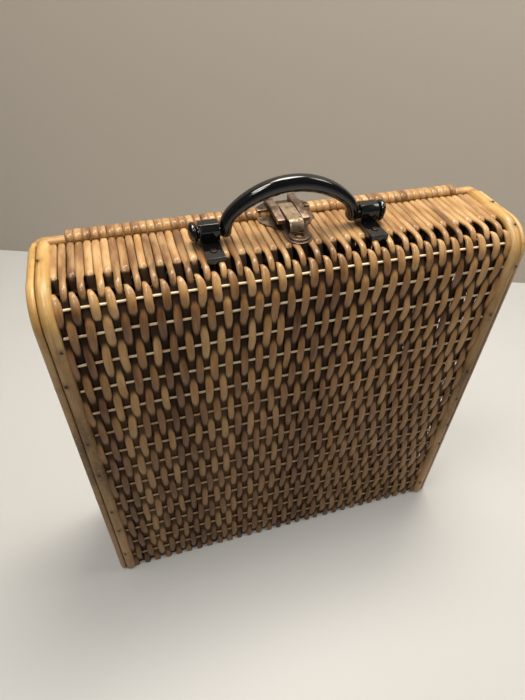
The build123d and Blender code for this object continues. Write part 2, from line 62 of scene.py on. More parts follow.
# Places that the frame gives, in metres: the case stands on Z = 0 and its tray faces -Y.
rail_low, rail_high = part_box("right_edge_rail")
foot_low, foot_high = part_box("right_foot_rail")
lid_rail_low, lid_rail_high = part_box("lid_right_edge_rail")
outer_low, outer_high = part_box("right_side_rail")
end_low, end_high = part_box("right_end_panel")
floor_low, floor_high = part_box("tray_floor")
strips_low, strips_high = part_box("tray_skewers")
crown = rail_high.z
front = rail_low.y
seam = rail_high.y
lid_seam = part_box("lid_rim_top")[0].y
lid_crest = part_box("lid_weave")[1].z
back = lid_rail_high.y
half_length = rail_high.x
rail_width = rail_high.x - rail_low.x
rail_height = foot_high.z - foot_low.z
lid_lift = lid_rail_low.z
outer_bulge = outer_high.x - outer_low.x
strip_length = strips_high.x - strips_low.x
end_width = end_high.y - end_low.y
joints = {joint["name"]: joint for joint in frame["joints"]}
handle_pivot = Vector(joints["handle_swing"]["pos_m"])

full_turn = 2 * math.pi
quarter_turn = math.pi / 2
both_sides = ((-1, "left"), (1, "right"))
# A flat stretch longer than any piece, for mats and canes that don't bend.
straight_run = 1.0


def length(name, default, description):
    """A length that a user may change."""
    return bpy.props.FloatProperty(
        name=name, description=description, default=default, unit="LENGTH", precision=5
    )


def amount(name, default, description):
    """A whole number that a user may change."""
    return bpy.props.IntProperty(name=name, description=description, default=default, min=0)


def factor(name, default, description):
    """A plain factor or share that a user may change."""
    return bpy.props.FloatProperty(name=name, description=description, default=default)


def slant(name, default, description):
    """An angle that a user may change."""
    return bpy.props.FloatProperty(name=name, description=description, default=default, subtype="ANGLE")


def lamp_power(name, default, description):
    """The power of a lamp that a user may change."""
    return bpy.props.FloatProperty(name=name, description=description, default=default, unit="POWER")


def location(name, default, description):
    """A place that a user may change."""
    return bpy.props.FloatVectorProperty(
        name=name, description=description, default=default, subtype="TRANSLATION", size=3, precision=5
    )


def colour(name, default, description):
    """A colour that a user may change."""
    return bpy.props.FloatVectorProperty(
        name=name, description=description, default=default, subtype="COLOR", size=3, min=0, max=1
    )


class PicnicWeave(bpy.types.PropertyGroup):
    rods: amount("Rods", 59, "Split rods across the case")
    rod_pitch: length("Rod Pitch", 0.005931, "Distance between the middles of two rods")
    rod_width: length("Rod Width", 0.00595, "Width of a rod lying flat")
    rod_thickness: length("Rod Thickness", 0.0031, "Thickness of a split rod")
    top_level: length("Top Level", 0.004, "Depth of the rods' crests under the rails' crown on the top")
    bend_radius: length("Bend Radius", 0.03, "Bend from the top to the front")
    dive: factor("Dive", 6.5, "How deep every second rod dives at the bend")
    dive_lead: length("Dive Lead", 0.003, "How far before the bend the rods start to dive")
    foot_gap: length("Foot Gap", 0.0015, "How far the tray's rods end above its foot")
    lid_level: length("Lid Level", 0.0024, "Depth of the lid rods' crests under the crown")
    lid_bend_radius: length("Lid Bend Radius", 0.008, "Bend from the top to the back")
    lid_curl: length("Lid Curl", 0.0072, "Bend of the lid's rods round the cane at the seam")
    lid_overhang: length("Lid Overhang", 0.0008, "How far the lid's rods reach past their cane at the seam")
    lid_rod_width: length("Lid Rod Width", 0.00615, "Width of the lid's rods")
    lid_rod_thickness: length("Lid Rod Thickness", 0.0024, "Thickness of the lid's rods")
    lid_blunt: factor("Lid Blunt", 0.9, "How blunt the lid's rods end, from 0 for rounded to 1 for square")
    lid_flat_end: length("Lid Flat End", 0.018, "Distance from the lid's flat rods to its first strip")
    lid_short_rods: amount("Short Rods", 2, "Rods at each end of the lid that start below its bend")
    lid_short_drop: length("Short Drop", 0.004, "How far below the lid's bend its short rods start")
    lid_strip_depth: length("Lid Strip Depth", 0.0043, "Depth of the lid's strips under the crown")
    floor_strip_drop: length("Floor Strip", 0.012, "Distance from the floor's edge to its first turn")
    end_level: length("End Level", 0.0005, "Depth of an end wall's rods at their top")
    end_flat: length("End Flat", 0.012, "How far an end wall's rods run flat from their top")
    end_corner_inset: length("End Corner Inset", 0.0088, "How much tighter an end's corner is than the bend")
    end_spare: factor("End Spare", 0.2, "Room beside an end wall's rods, as a share of their pitch")
    end_strip_depth: length("End Strip Depth", 0.0042, "Depth of the end walls' strips under their crown")
    end_strip_drop: length("End Strip Drop", 0.03, "Distance from the top of an end wall to its first strip")
    strip_count: amount("Strips", 13, "Straight strips in a wall")
    strip_width: length("Strip Width", 0.0021, "Width of a cross strip")
    strip_thickness: length("Strip Thickness", 0.0018, "Thickness of a cross strip")
    strip_depth: length("Strip Depth", 0.0059, "Depth of the weave's middle under the rails' crown")
    strip_lift: length("Strip Lift", 0.0006, "How far the tray's strips lie above the weave's middle")
    strip_drop: length("First Strip", 0.036, "Distance from the crown down to the first straight strip")
    strip_pitch: length("Strip Pitch", 0.02608, "Distance between two strips")
    bend_strip_width: length("Bend Strip Width", 0.0023, "Width of the strip on the bend")
    bend_strip_angle: slant("Bend Strip", math.radians(55), "Turn of the bend at its strip")


class PicnicCane(bpy.types.PropertyGroup):
    nail_pitch: length("Nail Pitch", 0.055, "Mean distance between two nails in a rail")
    nail_radius: length("Nail Radius", 0.0012, "Radius of a nail's head")
    nail_dome: length("Nail Dome", 0.0004, "Height of a nail's head")
    nail_stray: length("Nail Stray", 0.003, "How far a nail may stray from the middle of its rail")
    nail_margin: length("Nail Margin", 0.01, "Least distance from a nail to the end of its rail")
    stain_radius: length("Stain Radius", 0.0055, "Radius of the dark stain round a nail")
    knot_pitch: length("Knot Pitch", 0.15, "Distance between two knots in a cane")
    outer_inset: length("Outer Inset", 0.0025, "How far the tray's outer rails lie under the crown")
    outer_width: length("Outer Width", 0.01, "Width of the outer rails")
    lid_cane: length("Lid Cane", 0.0076, "Thickness of the cane that the lid's rods curl over")
    lid_cane_drop: length("Lid Cane Drop", 0.0012, "How far that cane lies under the top of its solid")


class PicnicHandle(bpy.types.PropertyGroup):
    half_width: length("Half Width", 0.0545, "Half of the handle's outer width")
    rise: length("Rise", 0.0369, "Height of the grip above its pins")
    corner_share: factor("Corner Share", 0.66, "Corner arc as a share of the rise")
    inner_corner_share: factor("Inner Corner Share", 0.58, "Inner corner arc as a share of its rise")
    grip_thickness: length("Grip Thickness", 0.0125, "Thickness at the middle of the grip")
    arm_thickness: length("Arm Thickness", 0.009, "Thickness of the arms")
    depth: length("Depth", 0.0112, "Front to back size of the bar")
    arm_drop: length("Arm Drop", 0.0046, "How far the arms reach below the pins")
    arm_end_share: factor("Arm End Share", 0.25, "Flat on an arm's round end, as a share of the arm")
    pin_radius: length("Pin Radius", 0.0036, "Radius of the pins")
    pin_chamfer: length("Pin Chamfer", 0.0002, "Chamfer at the hidden end of a pin")
    button_gap: length("Button Gap", 0.0006, "Gap between a button and its bracket")
    button_radius: length("Button Radius", 0.008, "Radius of the buttons")
    button_lift: length("Button Lift", 0.0015, "How far the buttons sit above the pins")
    bracket_rounding: length("Bracket Rounding", 0.0017, "Rounding of the brackets' edges")
    rivet_rounding: length("Rivet Rounding", 0.0004, "Rounding of the rivets' edges")


class PicnicLatch(bpy.types.PropertyGroup):
    tongue_thickness: length("Tongue Thickness", 0.0018, "Thickness of the tongue's strap")
    tongue_bend: length("Tongue Bend", 0.0072, "Outer radius of the tongue's bend over the eyelet")
    tongue_taper: factor("Tongue Taper", 0.1, "How much the tongue narrows to its end, as a share")
    knuckle_radius: length("Knuckle Radius", 0.0022, "Outer radius of the tongue's roll round its pin")
    catch_rounding: length("Catch Rounding", 0.0003, "Rounding of the catch plate and the latch pin")
    hasp_rounding: length("Hasp Rounding", 0.0006, "Rounding of the hasp plate")
    leaf_rounding: length("Leaf Rounding", 0.0002, "Rounding of the hinge leaves")
    plate_thickness: length("Plate Thickness", 0.001, "Thickness of the catch and hasp plates")
    nail_radius: length("Plate Nail Radius", 0.0016, "Radius of the nails in the plates")
    nail_dome: length("Plate Nail Dome", 0.0007, "Height of the nails in the plates")
    catch_nail_reach: length("Catch Nail Reach", 0.0175, "Distance of the catch's nails from its middle")
    catch_nail_inset: length("Catch Nail Inset", 0.0045, "Distance of the catch's nails from its back edge")
    hasp_nail_reach: length("Hasp Nail Reach", 0.0178, "Distance of the hasp's nails from its middle")
    hasp_nail_inset: length("Hasp Nail Inset", 0.0088, "Distance of the hasp's nails from its back edge")


class PicnicFinish(bpy.types.PropertyGroup):
    rod_dark: colour("Dark Rod", (0.1, 0.04, 0.014), "Darkest split rods")
    rod_brown: colour("Brown Rod", (0.26, 0.122, 0.044), "Common tan rods")
    rod_honey: colour("Honey Rod", (0.47, 0.25, 0.09), "Honey coloured rods")
    rod_straw: colour("Straw Rod", (0.64, 0.4, 0.18), "Palest rods")
    # Painted shade: the rods are browned towards this colour the lower they lie on the case.
    rod_low_shade: colour("Low Rod", (0.075, 0.036, 0.014), "Browner rods low on the case")
    # Painted light: the rods on the top are paled in patches towards this colour.
    rod_top_light: colour("Top Light Rod", (0.68, 0.47, 0.25), "Paler patches of the rods on the top")
    # Painted shade: where a rod tucks under a strip it turns nearly this black.
    rod_tuck_shade: colour("Hidden Rod", (0.012, 0.0045, 0.002), "Painted shade where a rod tucks under")
    cane_gold: colour("Gold Cane", (0.56, 0.33, 0.105), "Varnished face of the cane")
    cane_pale: colour("Pale Cane", (0.7, 0.47, 0.2), "Worn, paler streaks of the cane")
    cane_brown: colour("Brown Cane", (0.26, 0.13, 0.045), "Dark streaks and knots of the cane")
    cane_warm: colour("Warm Cane", (0.24, 0.115, 0.036), "Browner cane at the ends of the case")
    cane_scuffed: colour("Scuffed Cane", (0.13, 0.075, 0.032), "Scuffed cane half way down")
    cane_bare: colour("Bare Cane", (0.44, 0.31, 0.17), "Bare specks in the scuffs")
    cane_stain: colour("Cane Stain", (0.06, 0.028, 0.012), "Stains round the nails")
    strip_cream: colour("Cream Strip", (0.86, 0.73, 0.5), "Cross strips")
    plastic_black: colour("Black Plastic", (0.0035, 0.0035, 0.004), "Handle and brackets")
    plastic_worn: colour("Worn Plastic", (0.02, 0.019, 0.018), "Greyer edges of the plastic")
    plastic_scratch: colour("Scratched Plastic", (0.015, 0.0145, 0.014), "Scratches in the plastic")
    bronze_dark: colour("Dark Bronze", (0.07, 0.042, 0.03), "Aged bronze in the hollows")
    bronze_worn: colour("Worn Bronze", (0.5, 0.37, 0.275), "Rubbed bronze on the edges")
    bronze_patina: colour("Patina", (0.035, 0.018, 0.012), "Spots of patina on the bronze")
    tongue_gold: colour("Tongue Gold", (0.75, 0.58, 0.41), "Paler satin face of the tongue")
    rivet_red: colour("Rivet Red", (0.07, 0.035, 0.025), "Copper coloured rivets")
    nail_iron: colour("Nail Iron", (0.05, 0.03, 0.018), "Dark iron nail heads")
    nail_rust: colour("Nail Rust", (0.09, 0.035, 0.014), "Rust on the nail heads")


class PicnicStage(bpy.types.PropertyGroup):
    floor: colour("Floor", (0.635, 0.64, 0.635), "Pale table top")
    floor_reach: length("Floor Reach", 3.0, "Distance from the case to the floor's edges")
    wall: colour("Wall", (0.52, 0.472, 0.408), "Plain wall behind")
    wall_left: location("Wall Left", (-1.07, 0.958, 0), "Left foot of the wall")
    wall_right: location("Wall Right", (1.07, 0.138, 0), "Right foot of the wall")
    wall_height: length("Wall Height", 1.4, "Height of the wall")
    key_power: lamp_power("Key", 20.0, "Lamp over the case")
    fill_power: lamp_power("Fill", 7.0, "Lamp over the front")
    front_power: lamp_power("Front", 3.8, "Small lamp behind the camera")
    wall_power: lamp_power("Wall Lamp", 3.5, "Lamp beside the wall")
    sky: factor("Sky", 0.07, "Strength of the light all round")
    sky_tint: colour("Sky Tint", (1.0, 0.96, 0.9), "Tint of the light all round")
    lens: factor("Lens", 25.97, "Focal length of the camera in millimetres")
    camera_place: location("Camera", (-0.1216, -0.31996, 0.56306), "Place of the camera")
    azimuth: slant("Azimuth", -0.3093, "Turn of the camera round the case, from the front")
    elevation: slant("Elevation", 0.7458, "Slant of the camera's view down to the case")
    roll: slant("Roll", 0.0316, "Turn of the camera about its view")


class Field:
    """A value in a node tree that takes plain arithmetic."""

    def __init__(self, tree, socket):
        self.tree = tree
        self.socket = socket

    def __add__(self, other):
        return calculate("ADD", self, other)

    def __radd__(self, other):
        return calculate("ADD", other, self)

    def __sub__(self, other):
        return calculate("SUBTRACT", self, other)

    def __rsub__(self, other):
        return calculate("SUBTRACT", other, self)

    def __mul__(self, other):
        return calculate("MULTIPLY", self, other)

    def __rmul__(self, other):
        return calculate("MULTIPLY", other, self)

    def __truediv__(self, other):
        return calculate("DIVIDE", self, other)

    def __neg__(self):
        return calculate("MULTIPLY", self, -1.0)


def plug(tree, socket, value):
    """Sets a socket to a plain value, or links a field to it."""
    if isinstance(value, Field):
        tree.links.new(value.socket, socket)
    else:
        socket.default_value = value


def calculate(operation, *values):
    """A math node on fields and numbers."""
    tree = next(value.tree for value in values if isinstance(value, Field))
    node = tree.nodes.new("ShaderNodeMath")
    node.operation = operation
    for socket, value in zip(node.inputs, values):
        plug(tree, socket, value)
    return Field(tree, node.outputs[0])


def sine(angle):
    return calculate("SINE", angle)


def cosine(angle):
    return calculate("COSINE", angle)


def least(first, second):
    return calculate("MINIMUM", first, second)


def most(first, second):
    return calculate("MAXIMUM", first, second)


def above(first, second):
    return calculate("GREATER_THAN", first, second)


def root(value):
    return calculate("SQRT", value)


def blend(first, second, share):
    """From the first value to the second by a share from 0 to 1."""
    return first + (second - first) * share


def ease(value, start, end):
    """A smooth step from 0 at start to 1 at end."""
    tree = value.tree
    node = tree.nodes.new("ShaderNodeMapRange")
    node.interpolation_type = "SMOOTHSTEP"
    plug(tree, node.inputs["Value"], value)
    plug(tree, node.inputs["From Min"], start)
    plug(tree, node.inputs["From Max"], end)
    return Field(tree, node.outputs[0])


def vector(x, y, z):
    """A vector of three fields or numbers."""
    tree = next(value.tree for value in (x, y, z) if isinstance(value, Field))
    node = tree.nodes.new("ShaderNodeCombineXYZ")
    for socket, value in zip(node.inputs, (x, y, z)):
        plug(tree, socket, value)
    return Field(tree, node.outputs[0])


def parts(value):
    """The three numbers of a vector field."""
    node = value.tree.nodes.new("ShaderNodeSeparateXYZ")
    plug(value.tree, node.inputs[0], value)
    return [Field(value.tree, output) for output in node.outputs]


def noise(place, scale=1.0, detail=2.0, roughness=0.5):
    """Soft noise round 0.5 at a vector field."""
    node = place.tree.nodes.new("ShaderNodeTexNoise")
    plug(place.tree, node.inputs["Vector"], place)
    node.inputs["Scale"].default_value = scale
    node.inputs["Detail"].default_value = detail
    node.inputs["Roughness"].default_value = roughness
    return Field(place.tree, node.outputs[0])


def new_tree(name, inputs):
    """An empty geometry tree with named inputs, and its inputs as fields."""
    tree = bpy.data.node_groups.new(name, "GeometryNodeTree")
    tree.interface.new_socket("Geometry", in_out="OUTPUT", socket_type="NodeSocketGeometry")
    for label, kind, default in inputs:
        socket = tree.interface.new_socket(label, in_out="INPUT", socket_type="NodeSocket" + kind)
        if default is not None:
            socket.default_value = default
    group = tree.nodes.new("NodeGroupInput")
    return tree, {label: Field(tree, group.outputs[label]) for label, kind, default in inputs}


def node_of(tree, kind, inputs=(), **settings):
    """A node with its settings made and its named inputs plugged."""
    node = tree.nodes.new(kind)
    for name, value in settings.items():
        setattr(node, name, value)
    for name, value in dict(inputs).items():
        plug(tree, node.inputs[name], value)
    return node


def position_of(tree):
    return Field(tree, tree.nodes.new("GeometryNodeInputPosition").outputs[0])


def kept(tree, name):
    """A named number kept on the points."""
    node = node_of(tree, "GeometryNodeInputNamedAttribute", {"Name": name}, data_type="FLOAT")
    return Field(tree, node.outputs["Attribute"])


def keep(tree, geometry, name, value, kind="FLOAT"):
    """Keeps a number or vector on the points under a name."""
    node = node_of(
        tree,
        "GeometryNodeStoreNamedAttribute",
        {"Geometry": geometry, "Name": name, "Value": value},
        data_type=kind,
        domain="POINT",
    )
    return Field(tree, node.outputs[0])


def chance(tree, seed, number, low=0.0, high=1.0):
    """A random number for each rod, the same at every run."""
    node = node_of(tree, "FunctionNodeRandomValue", data_type="FLOAT")
    node.inputs[2].default_value = low
    node.inputs[3].default_value = high
    plug(tree, node.inputs["ID"], number)
    plug(tree, node.inputs["Seed"], seed)
    return Field(tree, node.outputs[1])


def unit_rod(tree, samples, sides):
    """A rod of radius 1 along Z from 0 to 1, to be given its real shape by a rule."""
    line = node_of(tree, "GeometryNodeCurvePrimitiveLine", {"End": (0, 0, 1)})
    spread = node_of(
        tree, "GeometryNodeResampleCurve", {"Curve": Field(tree, line.outputs[0]), "Count": samples}
    )
    ring = node_of(tree, "GeometryNodeCurvePrimitiveCircle", {"Resolution": sides, "Radius": 1.0})
    rod = node_of(
        tree,
        "GeometryNodeCurveToMesh",
        {
            "Curve": Field(tree, spread.outputs[0]),
            "Profile Curve": Field(tree, ring.outputs[0]),
            "Fill Caps": True,
        },
    )
    return Field(tree, rod.outputs[0])


def repeated(tree, shape, count):
    """Copies of a shape on one spot, each with its number kept as rod."""
    line = node_of(tree, "GeometryNodeMeshLine", {"Count": count, "Offset": (0, 0, 0)})
    index = Field(tree, tree.nodes.new("GeometryNodeInputIndex").outputs[0])
    numbered = keep(tree, Field(tree, line.outputs[0]), "rod", index)
    copies = node_of(tree, "GeometryNodeInstanceOnPoints", {"Points": numbered, "Instance": shape})
    real = node_of(tree, "GeometryNodeRealizeInstances", {"Geometry": Field(tree, copies.outputs[0])})
    return Field(tree, real.outputs[0])


def close_tree(tree, geometry, place, material):
    """Puts the points in their places, smooths the faces and gives them their material."""
    moved = node_of(tree, "GeometryNodeSetPosition", {"Geometry": geometry, "Position": place})
    smooth = node_of(tree, "GeometryNodeSetShadeSmooth", {"Geometry": Field(tree, moved.outputs[0])})
    real = node_of(tree, "GeometryNodeRealizeInstances", {"Geometry": Field(tree, smooth.outputs[0])})
    painted = node_of(
        tree, "GeometryNodeSetMaterial", {"Geometry": Field(tree, real.outputs[0]), "Material": material}
    )
    end = tree.nodes.new("NodeGroupOutput")
    tree.links.new(painted.outputs[0], end.inputs[0])
    return tree


def wrapped(across, run, depth, flat, radius, curl):
    """The place of a point on the case's wrap: it curls up at its start, runs flat, bends and hangs down.

    The wrap starts at the origin, runs along +Y and hangs down -Z; depth is under its crown.
    """
    curl_run = curl * quarter_turn
    curl_turn = least(most(1.0 - run / curl_run, 0.0), 1.0) * quarter_turn
    along = most(run - curl_run, 0.0)
    level = flat - curl
    turn = least(most((along - level) / radius, 0.0), quarter_turn)
    hang = most(along - level - radius * quarter_turn, 0.0)
    y = curl + least(along, level) - (curl - depth) * sine(curl_turn) + (radius - depth) * sine(turn)
    z = (curl - depth) * cosine(curl_turn) - curl + (radius - depth) * cosine(turn) - radius + depth - hang
    return vector(across, y, z)


WRAP_INPUTS = [
    ("Length", "Float", 0.4),
    ("Flat", "Float", 0.046),
    ("Radius", "Float", 0.03),
    ("Curl", "Float", 0.00001),
]


# The fine shape of a woven rod: lengths in metres, girths as shares, noise in cells per metre.
rod_stray = 0.00015
rod_late = (0.0001, 0.0016)
rod_girth = (0.95, 1.05)
rod_first_step = 0.0008
rod_wave_rate = 30.0
rod_swing_share = 0.43
slack_lead = 0.012
slack_in_step = 0.42
slack_in_girth = 0.4
dive_run = 0.007
rejoin_lead, rejoin_end = 0.025, 0.009
rider_lead = 0.016
flat_fade = 0.018
over_girth, under_girth, flat_girth = 0.06, 0.5, 0.995
gap_fade_in, gap_fade_out, gap_thinning = 0.006, 0.01, 0.24
split_lead, point_lead, point_end = 0.012, 0.02, 0.003
point_thinning, point_shift = 0.8, 0.0018
tip_start, tip_run = 0.0007, 0.0022
hang_sway, flat_sway = 0.004, 0.0012
hang_squareness, flat_squareness = 0.75, 0.5
side_tuck = 0.3


def woven_mat_tree():
    """Split rods side by side, each passing over and under the cross strips."""
    tree, knob = new_tree(
        "Woven Mat",
        WRAP_INPUTS
        + [
            ("Rods", "Int", 59),
            ("Pitch", "Float", 0.006),
            ("Rod Width", "Float", 0.006),
            ("Rod Thickness", "Float", 0.003),
            ("Strip Thickness", "Float", 0.0018),
            ("Strip Depth", "Float", 0.006),
            ("Top Level", "Float", 0.004),
            ("First Strip", "Float", 0.07),
            ("Second Strip", "Float", 0.1),
            ("Strip Pitch", "Float", 0.026),
            ("Dive", "Float", 0.0),
            ("Dive Start", "Float", 0.043),
            ("Corner", "Float", 0.0),
            ("Blunt", "Float", 0.0),
            ("Short Rods", "Int", 0),
            ("Short Start", "Float", 0.0),
            ("Samples", "Int", 150),
            ("Seed", "Int", 1),
            ("Material", "Material", None),
        ],
    )
    mat = repeated(tree, unit_rod(tree, knob["Samples"], 10), knob["Rods"])
    rod = kept(tree, "rod")
    side, face, share = parts(position_of(tree))
    seed = knob["Seed"]
    tone = chance(tree, seed, rod)
    shift = chance(tree, seed + 1.0, rod, -rod_stray, rod_stray)
    late = chance(tree, seed + 2.0, rod, *rod_late) * (1.0 - knob["Blunt"])
    girth = chance(tree, seed + 3.0, rod, *rod_girth)
    rider = calculate("MODULO", rod, 2.0)
    last = knob["Rods"] - 1.0
    middle = (rod - last / 2.0) * knob["Pitch"]

    # A corner and the short rods set where each rod starts; its first sample lies close to its start.
    corner = knob["Corner"]
    reach = most(corner - middle - last / 2.0 * knob["Pitch"], 0.0)
    start = late + corner - root(most(corner * corner - reach * reach, 0.0))
    edge = least(rod, last - rod)
    start = start + knob["Short Start"] * (1.0 - above(edge, knob["Short Rods"] - 0.5))
    started = above(share, 0.0001)
    first_step = knob["Length"] / (knob["Samples"] - 1.0) - rod_first_step
    run = start + (knob["Length"] - start) * share - first_step * started * (1.0 - share)

    # How far outside the strips a rod lies, from -1 to 1: riders and divers differ until the first strip.
    first = knob["First Strip"]
    second = knob["Second Strip"]
    dive = knob["Dive Start"]
    steps = least((run - first) / (second - first), 1.0) + most((run - second) / knob["Strip Pitch"], 0.0)
    slack = noise(vector(run * rod_wave_rate, rod * 3.3, seed + 5.0), detail=1.0) - 0.5
    slack = slack * above(run, first + slack_lead)
    weave = cosine((steps + slack * slack_in_step) * math.pi) * (1.0 - 2.0 * rider)
    dived = ease(run, dive, dive + dive_run) - ease(run, first - rejoin_lead, first - rejoin_end)
    diver = 1.0 - knob["Dive"] * dived
    ridden = 1.0 - 2.0 * ease(run, first - rider_lead, first)
    outside = blend(blend(diver, ridden, rider), weave, above(run, first))
    flatness = 1.0 - ease(run, dive, dive + flat_fade)

    thickness = knob["Rod Thickness"]
    swing = (thickness + knob["Strip Thickness"]) * rod_swing_share
    flat_drop = knob["Top Level"] + thickness / 2.0 - (knob["Strip Depth"] - swing)
    level = knob["Strip Depth"] - swing * outside + flat_drop * flatness

    # A rod is full where it tucks under, thin over the gaps at the bend, and pointed where it comes back up.
    split = least(knob["Dive"], 1.0)
    lens = 1.0 + over_girth * ease(outside, 0.0, 0.9) + under_girth * ease(-outside, 0.0, 0.6)
    over_gap = ease(run, dive, dive + gap_fade_in) * (1.0 - ease(run, first, first + gap_fade_out))
    over_gap = over_gap * rider * split
    point = 1.0 - ease(run, first - point_lead, first - point_end)
    point = point * split * (1.0 - rider) * above(run, dive + split_lead)
    fullness = blend(lens, flat_girth, flatness) - gap_thinning * over_gap - point_thinning * point
    width = knob["Rod Width"] / 2.0 * girth * (1.0 + slack * slack_in_girth) * fullness
    tip = root(least(most((run - start + tip_start) / tip_run, 0.0), 1.0))
    tip = blend(tip, 1.0, knob["Blunt"])
    sway = noise(vector(run * rod_wave_rate, rod * 5.7, seed), detail=1.0) - 0.5
    sway = sway * blend(hang_sway, flat_sway, flatness)
    across = middle + shift + sway + point * point_shift + side * width * tip
    squareness = blend(hang_squareness, flat_squareness, flatness)
    bulge = calculate("SIGN", face) * calculate("POWER", calculate("ABSOLUTE", face), squareness)
    depth = level - bulge * thickness / 2.0 * tip

    fibre = vector(side * width, run, rod * 0.371 + seed)
    mat = keep(tree, mat, "tone", tone)
    # The tuck share also feeds the painted shade where a rod tucks under.
    mat = keep(tree, mat, "tuck", least((1.0 - outside) / 2.0 + side * side * side_tuck, 1.0))
    mat = keep(tree, mat, "fibre", fibre, "FLOAT_VECTOR")
    place = wrapped(across, run, depth, knob["Flat"], knob["Radius"], knob["Curl"])
    return close_tree(tree, mat, place, knob["Material"])


# The fine shape of a cane: lengths in metres, changes of girth as shares, noise in cells per metre.
cane_start = 0.0001
cane_tip, least_tip, tip_softness = 0.0012, 0.3, 0.6
knot_reach = 0.0045
knot_width, knot_height = 0.025, 0.02
uneven_rate, uneven_width, uneven_height = 28.0, 0.05, 0.03
drift_rate, cane_drift = 9.0, 0.0008
cane_squareness = 0.82


def cane_tree():
    """One cane along the wrap, half round or round, with knots and a slightly uneven girth."""
    tree, knob = new_tree(
        "Cane",
        WRAP_INPUTS
        + [
            ("Across", "Float", 0.0),
            ("Width", "Float", 0.012),
            ("Height", "Float", 0.006),
            ("Depth", "Float", 0.006),
            ("Round", "Float", 0.0),
            ("Sideways", "Float", 0.0),
            ("Knot Pitch", "Float", 0.15),
            ("Samples", "Int", 160),
            ("Seed", "Int", 1),
            ("Material", "Material", None),
        ],
    )
    cane = unit_rod(tree, knob["Samples"], 20)
    side, face, share = parts(position_of(tree))
    run = cane_start + (knob["Length"] - cane_start) * share
    seed = knob["Seed"]
    knots = run / knob["Knot Pitch"] + seed * 0.37
    knot_gap = calculate("ABSOLUTE", calculate("FRACT", knots) - 0.5) * knob["Knot Pitch"]
    knot = 1.0 - ease(knot_gap, 0.0, knot_reach)
    uneven = noise(vector(run * uneven_rate, seed * 3.1, 0.0)) - 0.5
    girth = 1.0 + uneven_width * uneven + knot_width * knot
    drift = (noise(vector(run * drift_rate, seed * 7.7, 4.0), detail=1.0) - 0.5) * cane_drift
    tip = root(least(most(least(run, knob["Length"] - run) / cane_tip, least_tip), 1.0))
    tip = blend(tip, 1.0, tip_softness)
    half = knob["Width"] / 2.0 * girth * side * tip
    crowned = calculate("POWER", most(face, 0.0), cane_squareness)
    rise = knob["Height"] * blend(crowned, (face + 1.0) / 2.0, knob["Round"]) * tip
    rise = rise * (1.0 + uneven_height * uneven + knot_height * (knot - 1.0))
    turned = calculate("ABSOLUTE", knob["Sideways"])
    across = knob["Across"] + (1.0 - turned) * (half + drift) + knob["Sideways"] * rise
    depth = knob["Depth"] - (1.0 - turned) * rise + turned * half
    cane = keep(tree, cane, "knot", knot)
    cane = keep(tree, cane, "fibre", vector(half, run, seed * 0.713 + face * 0.002), "FLOAT_VECTOR")
    place = wrapped(across, run, depth, knob["Flat"], knob["Radius"], knob["Curl"])
    return close_tree(tree, cane, place, knob["Material"])


# How uneven the cross strips lie: lengths in metres, girths as shares, noise in cells per metre.
strip_wave_rate, strip_wander = 14.0, 0.0034
strip_tilt = 0.0006
strip_girth = (0.85, 1.1)


def strip_tree():
    """Thin cross strips at even steps along the wrap."""
    tree, knob = new_tree(
        "Cross Strips",
        WRAP_INPUTS
        + [
            ("Strips", "Int", 13),
            ("First", "Float", 0.07),
            ("Pitch", "Float", 0.026),
            ("Width", "Float", 0.0022),
            ("Thickness", "Float", 0.0018),
            ("Depth", "Float", 0.006),
            ("Samples", "Int", 60),
            ("Seed", "Int", 1),
            ("Material", "Material", None),
        ],
    )
    strips = repeated(tree, unit_rod(tree, knob["Samples"], 8), knob["Strips"])
    number = kept(tree, "rod")
    side, face, share = parts(position_of(tree))
    across = (share - 0.5) * knob["Length"]
    seed = knob["Seed"]
    wander = noise(vector(across * strip_wave_rate, number * 3.3, seed), detail=1.0) - 0.5
    tilt = chance(tree, seed, number, -strip_tilt, strip_tilt) * (share - 0.5) * 2.0
    girth = chance(tree, seed + 1.0, number, *strip_girth)
    middle = knob["First"] + number * knob["Pitch"] + wander * strip_wander + tilt
    run = middle + side * knob["Width"] / 2.0 * girth
    depth = knob["Depth"] - face * knob["Thickness"] / 2.0
    strips = keep(tree, strips, "tone", chance(tree, seed + 2.0, number))
    strips = keep(tree, strips, "fibre", vector(side * knob["Width"], across, number), "FLOAT_VECTOR")
    place = wrapped(across, run, depth, knob["Flat"], knob["Radius"], knob["Curl"])
    return close_tree(tree, strips, place, knob["Material"])


# How much nail heads differ in size, as shares.
nail_girth = (0.8, 1.2)


def nail_tree():
    """A domed nail head on each point of a mesh, facing along the direction kept on the point."""
    tree, knob = new_tree(
        "Nail Heads",
        [
            ("Geometry", "Geometry", None),
            ("Radius", "Float", 0.001),
            ("Dome", "Float", 0.0004),
            ("Seed", "Int", 1),
            ("Material", "Material", None),
        ],
    )
    head = node_of(tree, "GeometryNodeMeshUVSphere", {"Segments": 10, "Rings": 6, "Radius": 1.0})
    facing = node_of(tree, "GeometryNodeInputNamedAttribute", {"Name": "facing"}, data_type="FLOAT_VECTOR")
    turned = node_of(
        tree,
        "FunctionNodeAlignRotationToVector",
        {"Vector": Field(tree, facing.outputs["Attribute"])},
        axis="Z",
    )
    index = Field(tree, tree.nodes.new("GeometryNodeInputIndex").outputs[0])
    size = knob["Radius"] * chance(tree, knob["Seed"], index, *nail_girth)
    heads = node_of(
        tree,
        "GeometryNodeInstanceOnPoints",
        {
            "Points": knob["Geometry"],
            "Instance": Field(tree, head.outputs[0]),
            "Rotation": Field(tree, turned.outputs[0]),
            "Scale": vector(size, size, knob["Dome"]),
        },
    )
    return close_tree(tree, Field(tree, heads.outputs[0]), position_of(tree), knob["Material"])


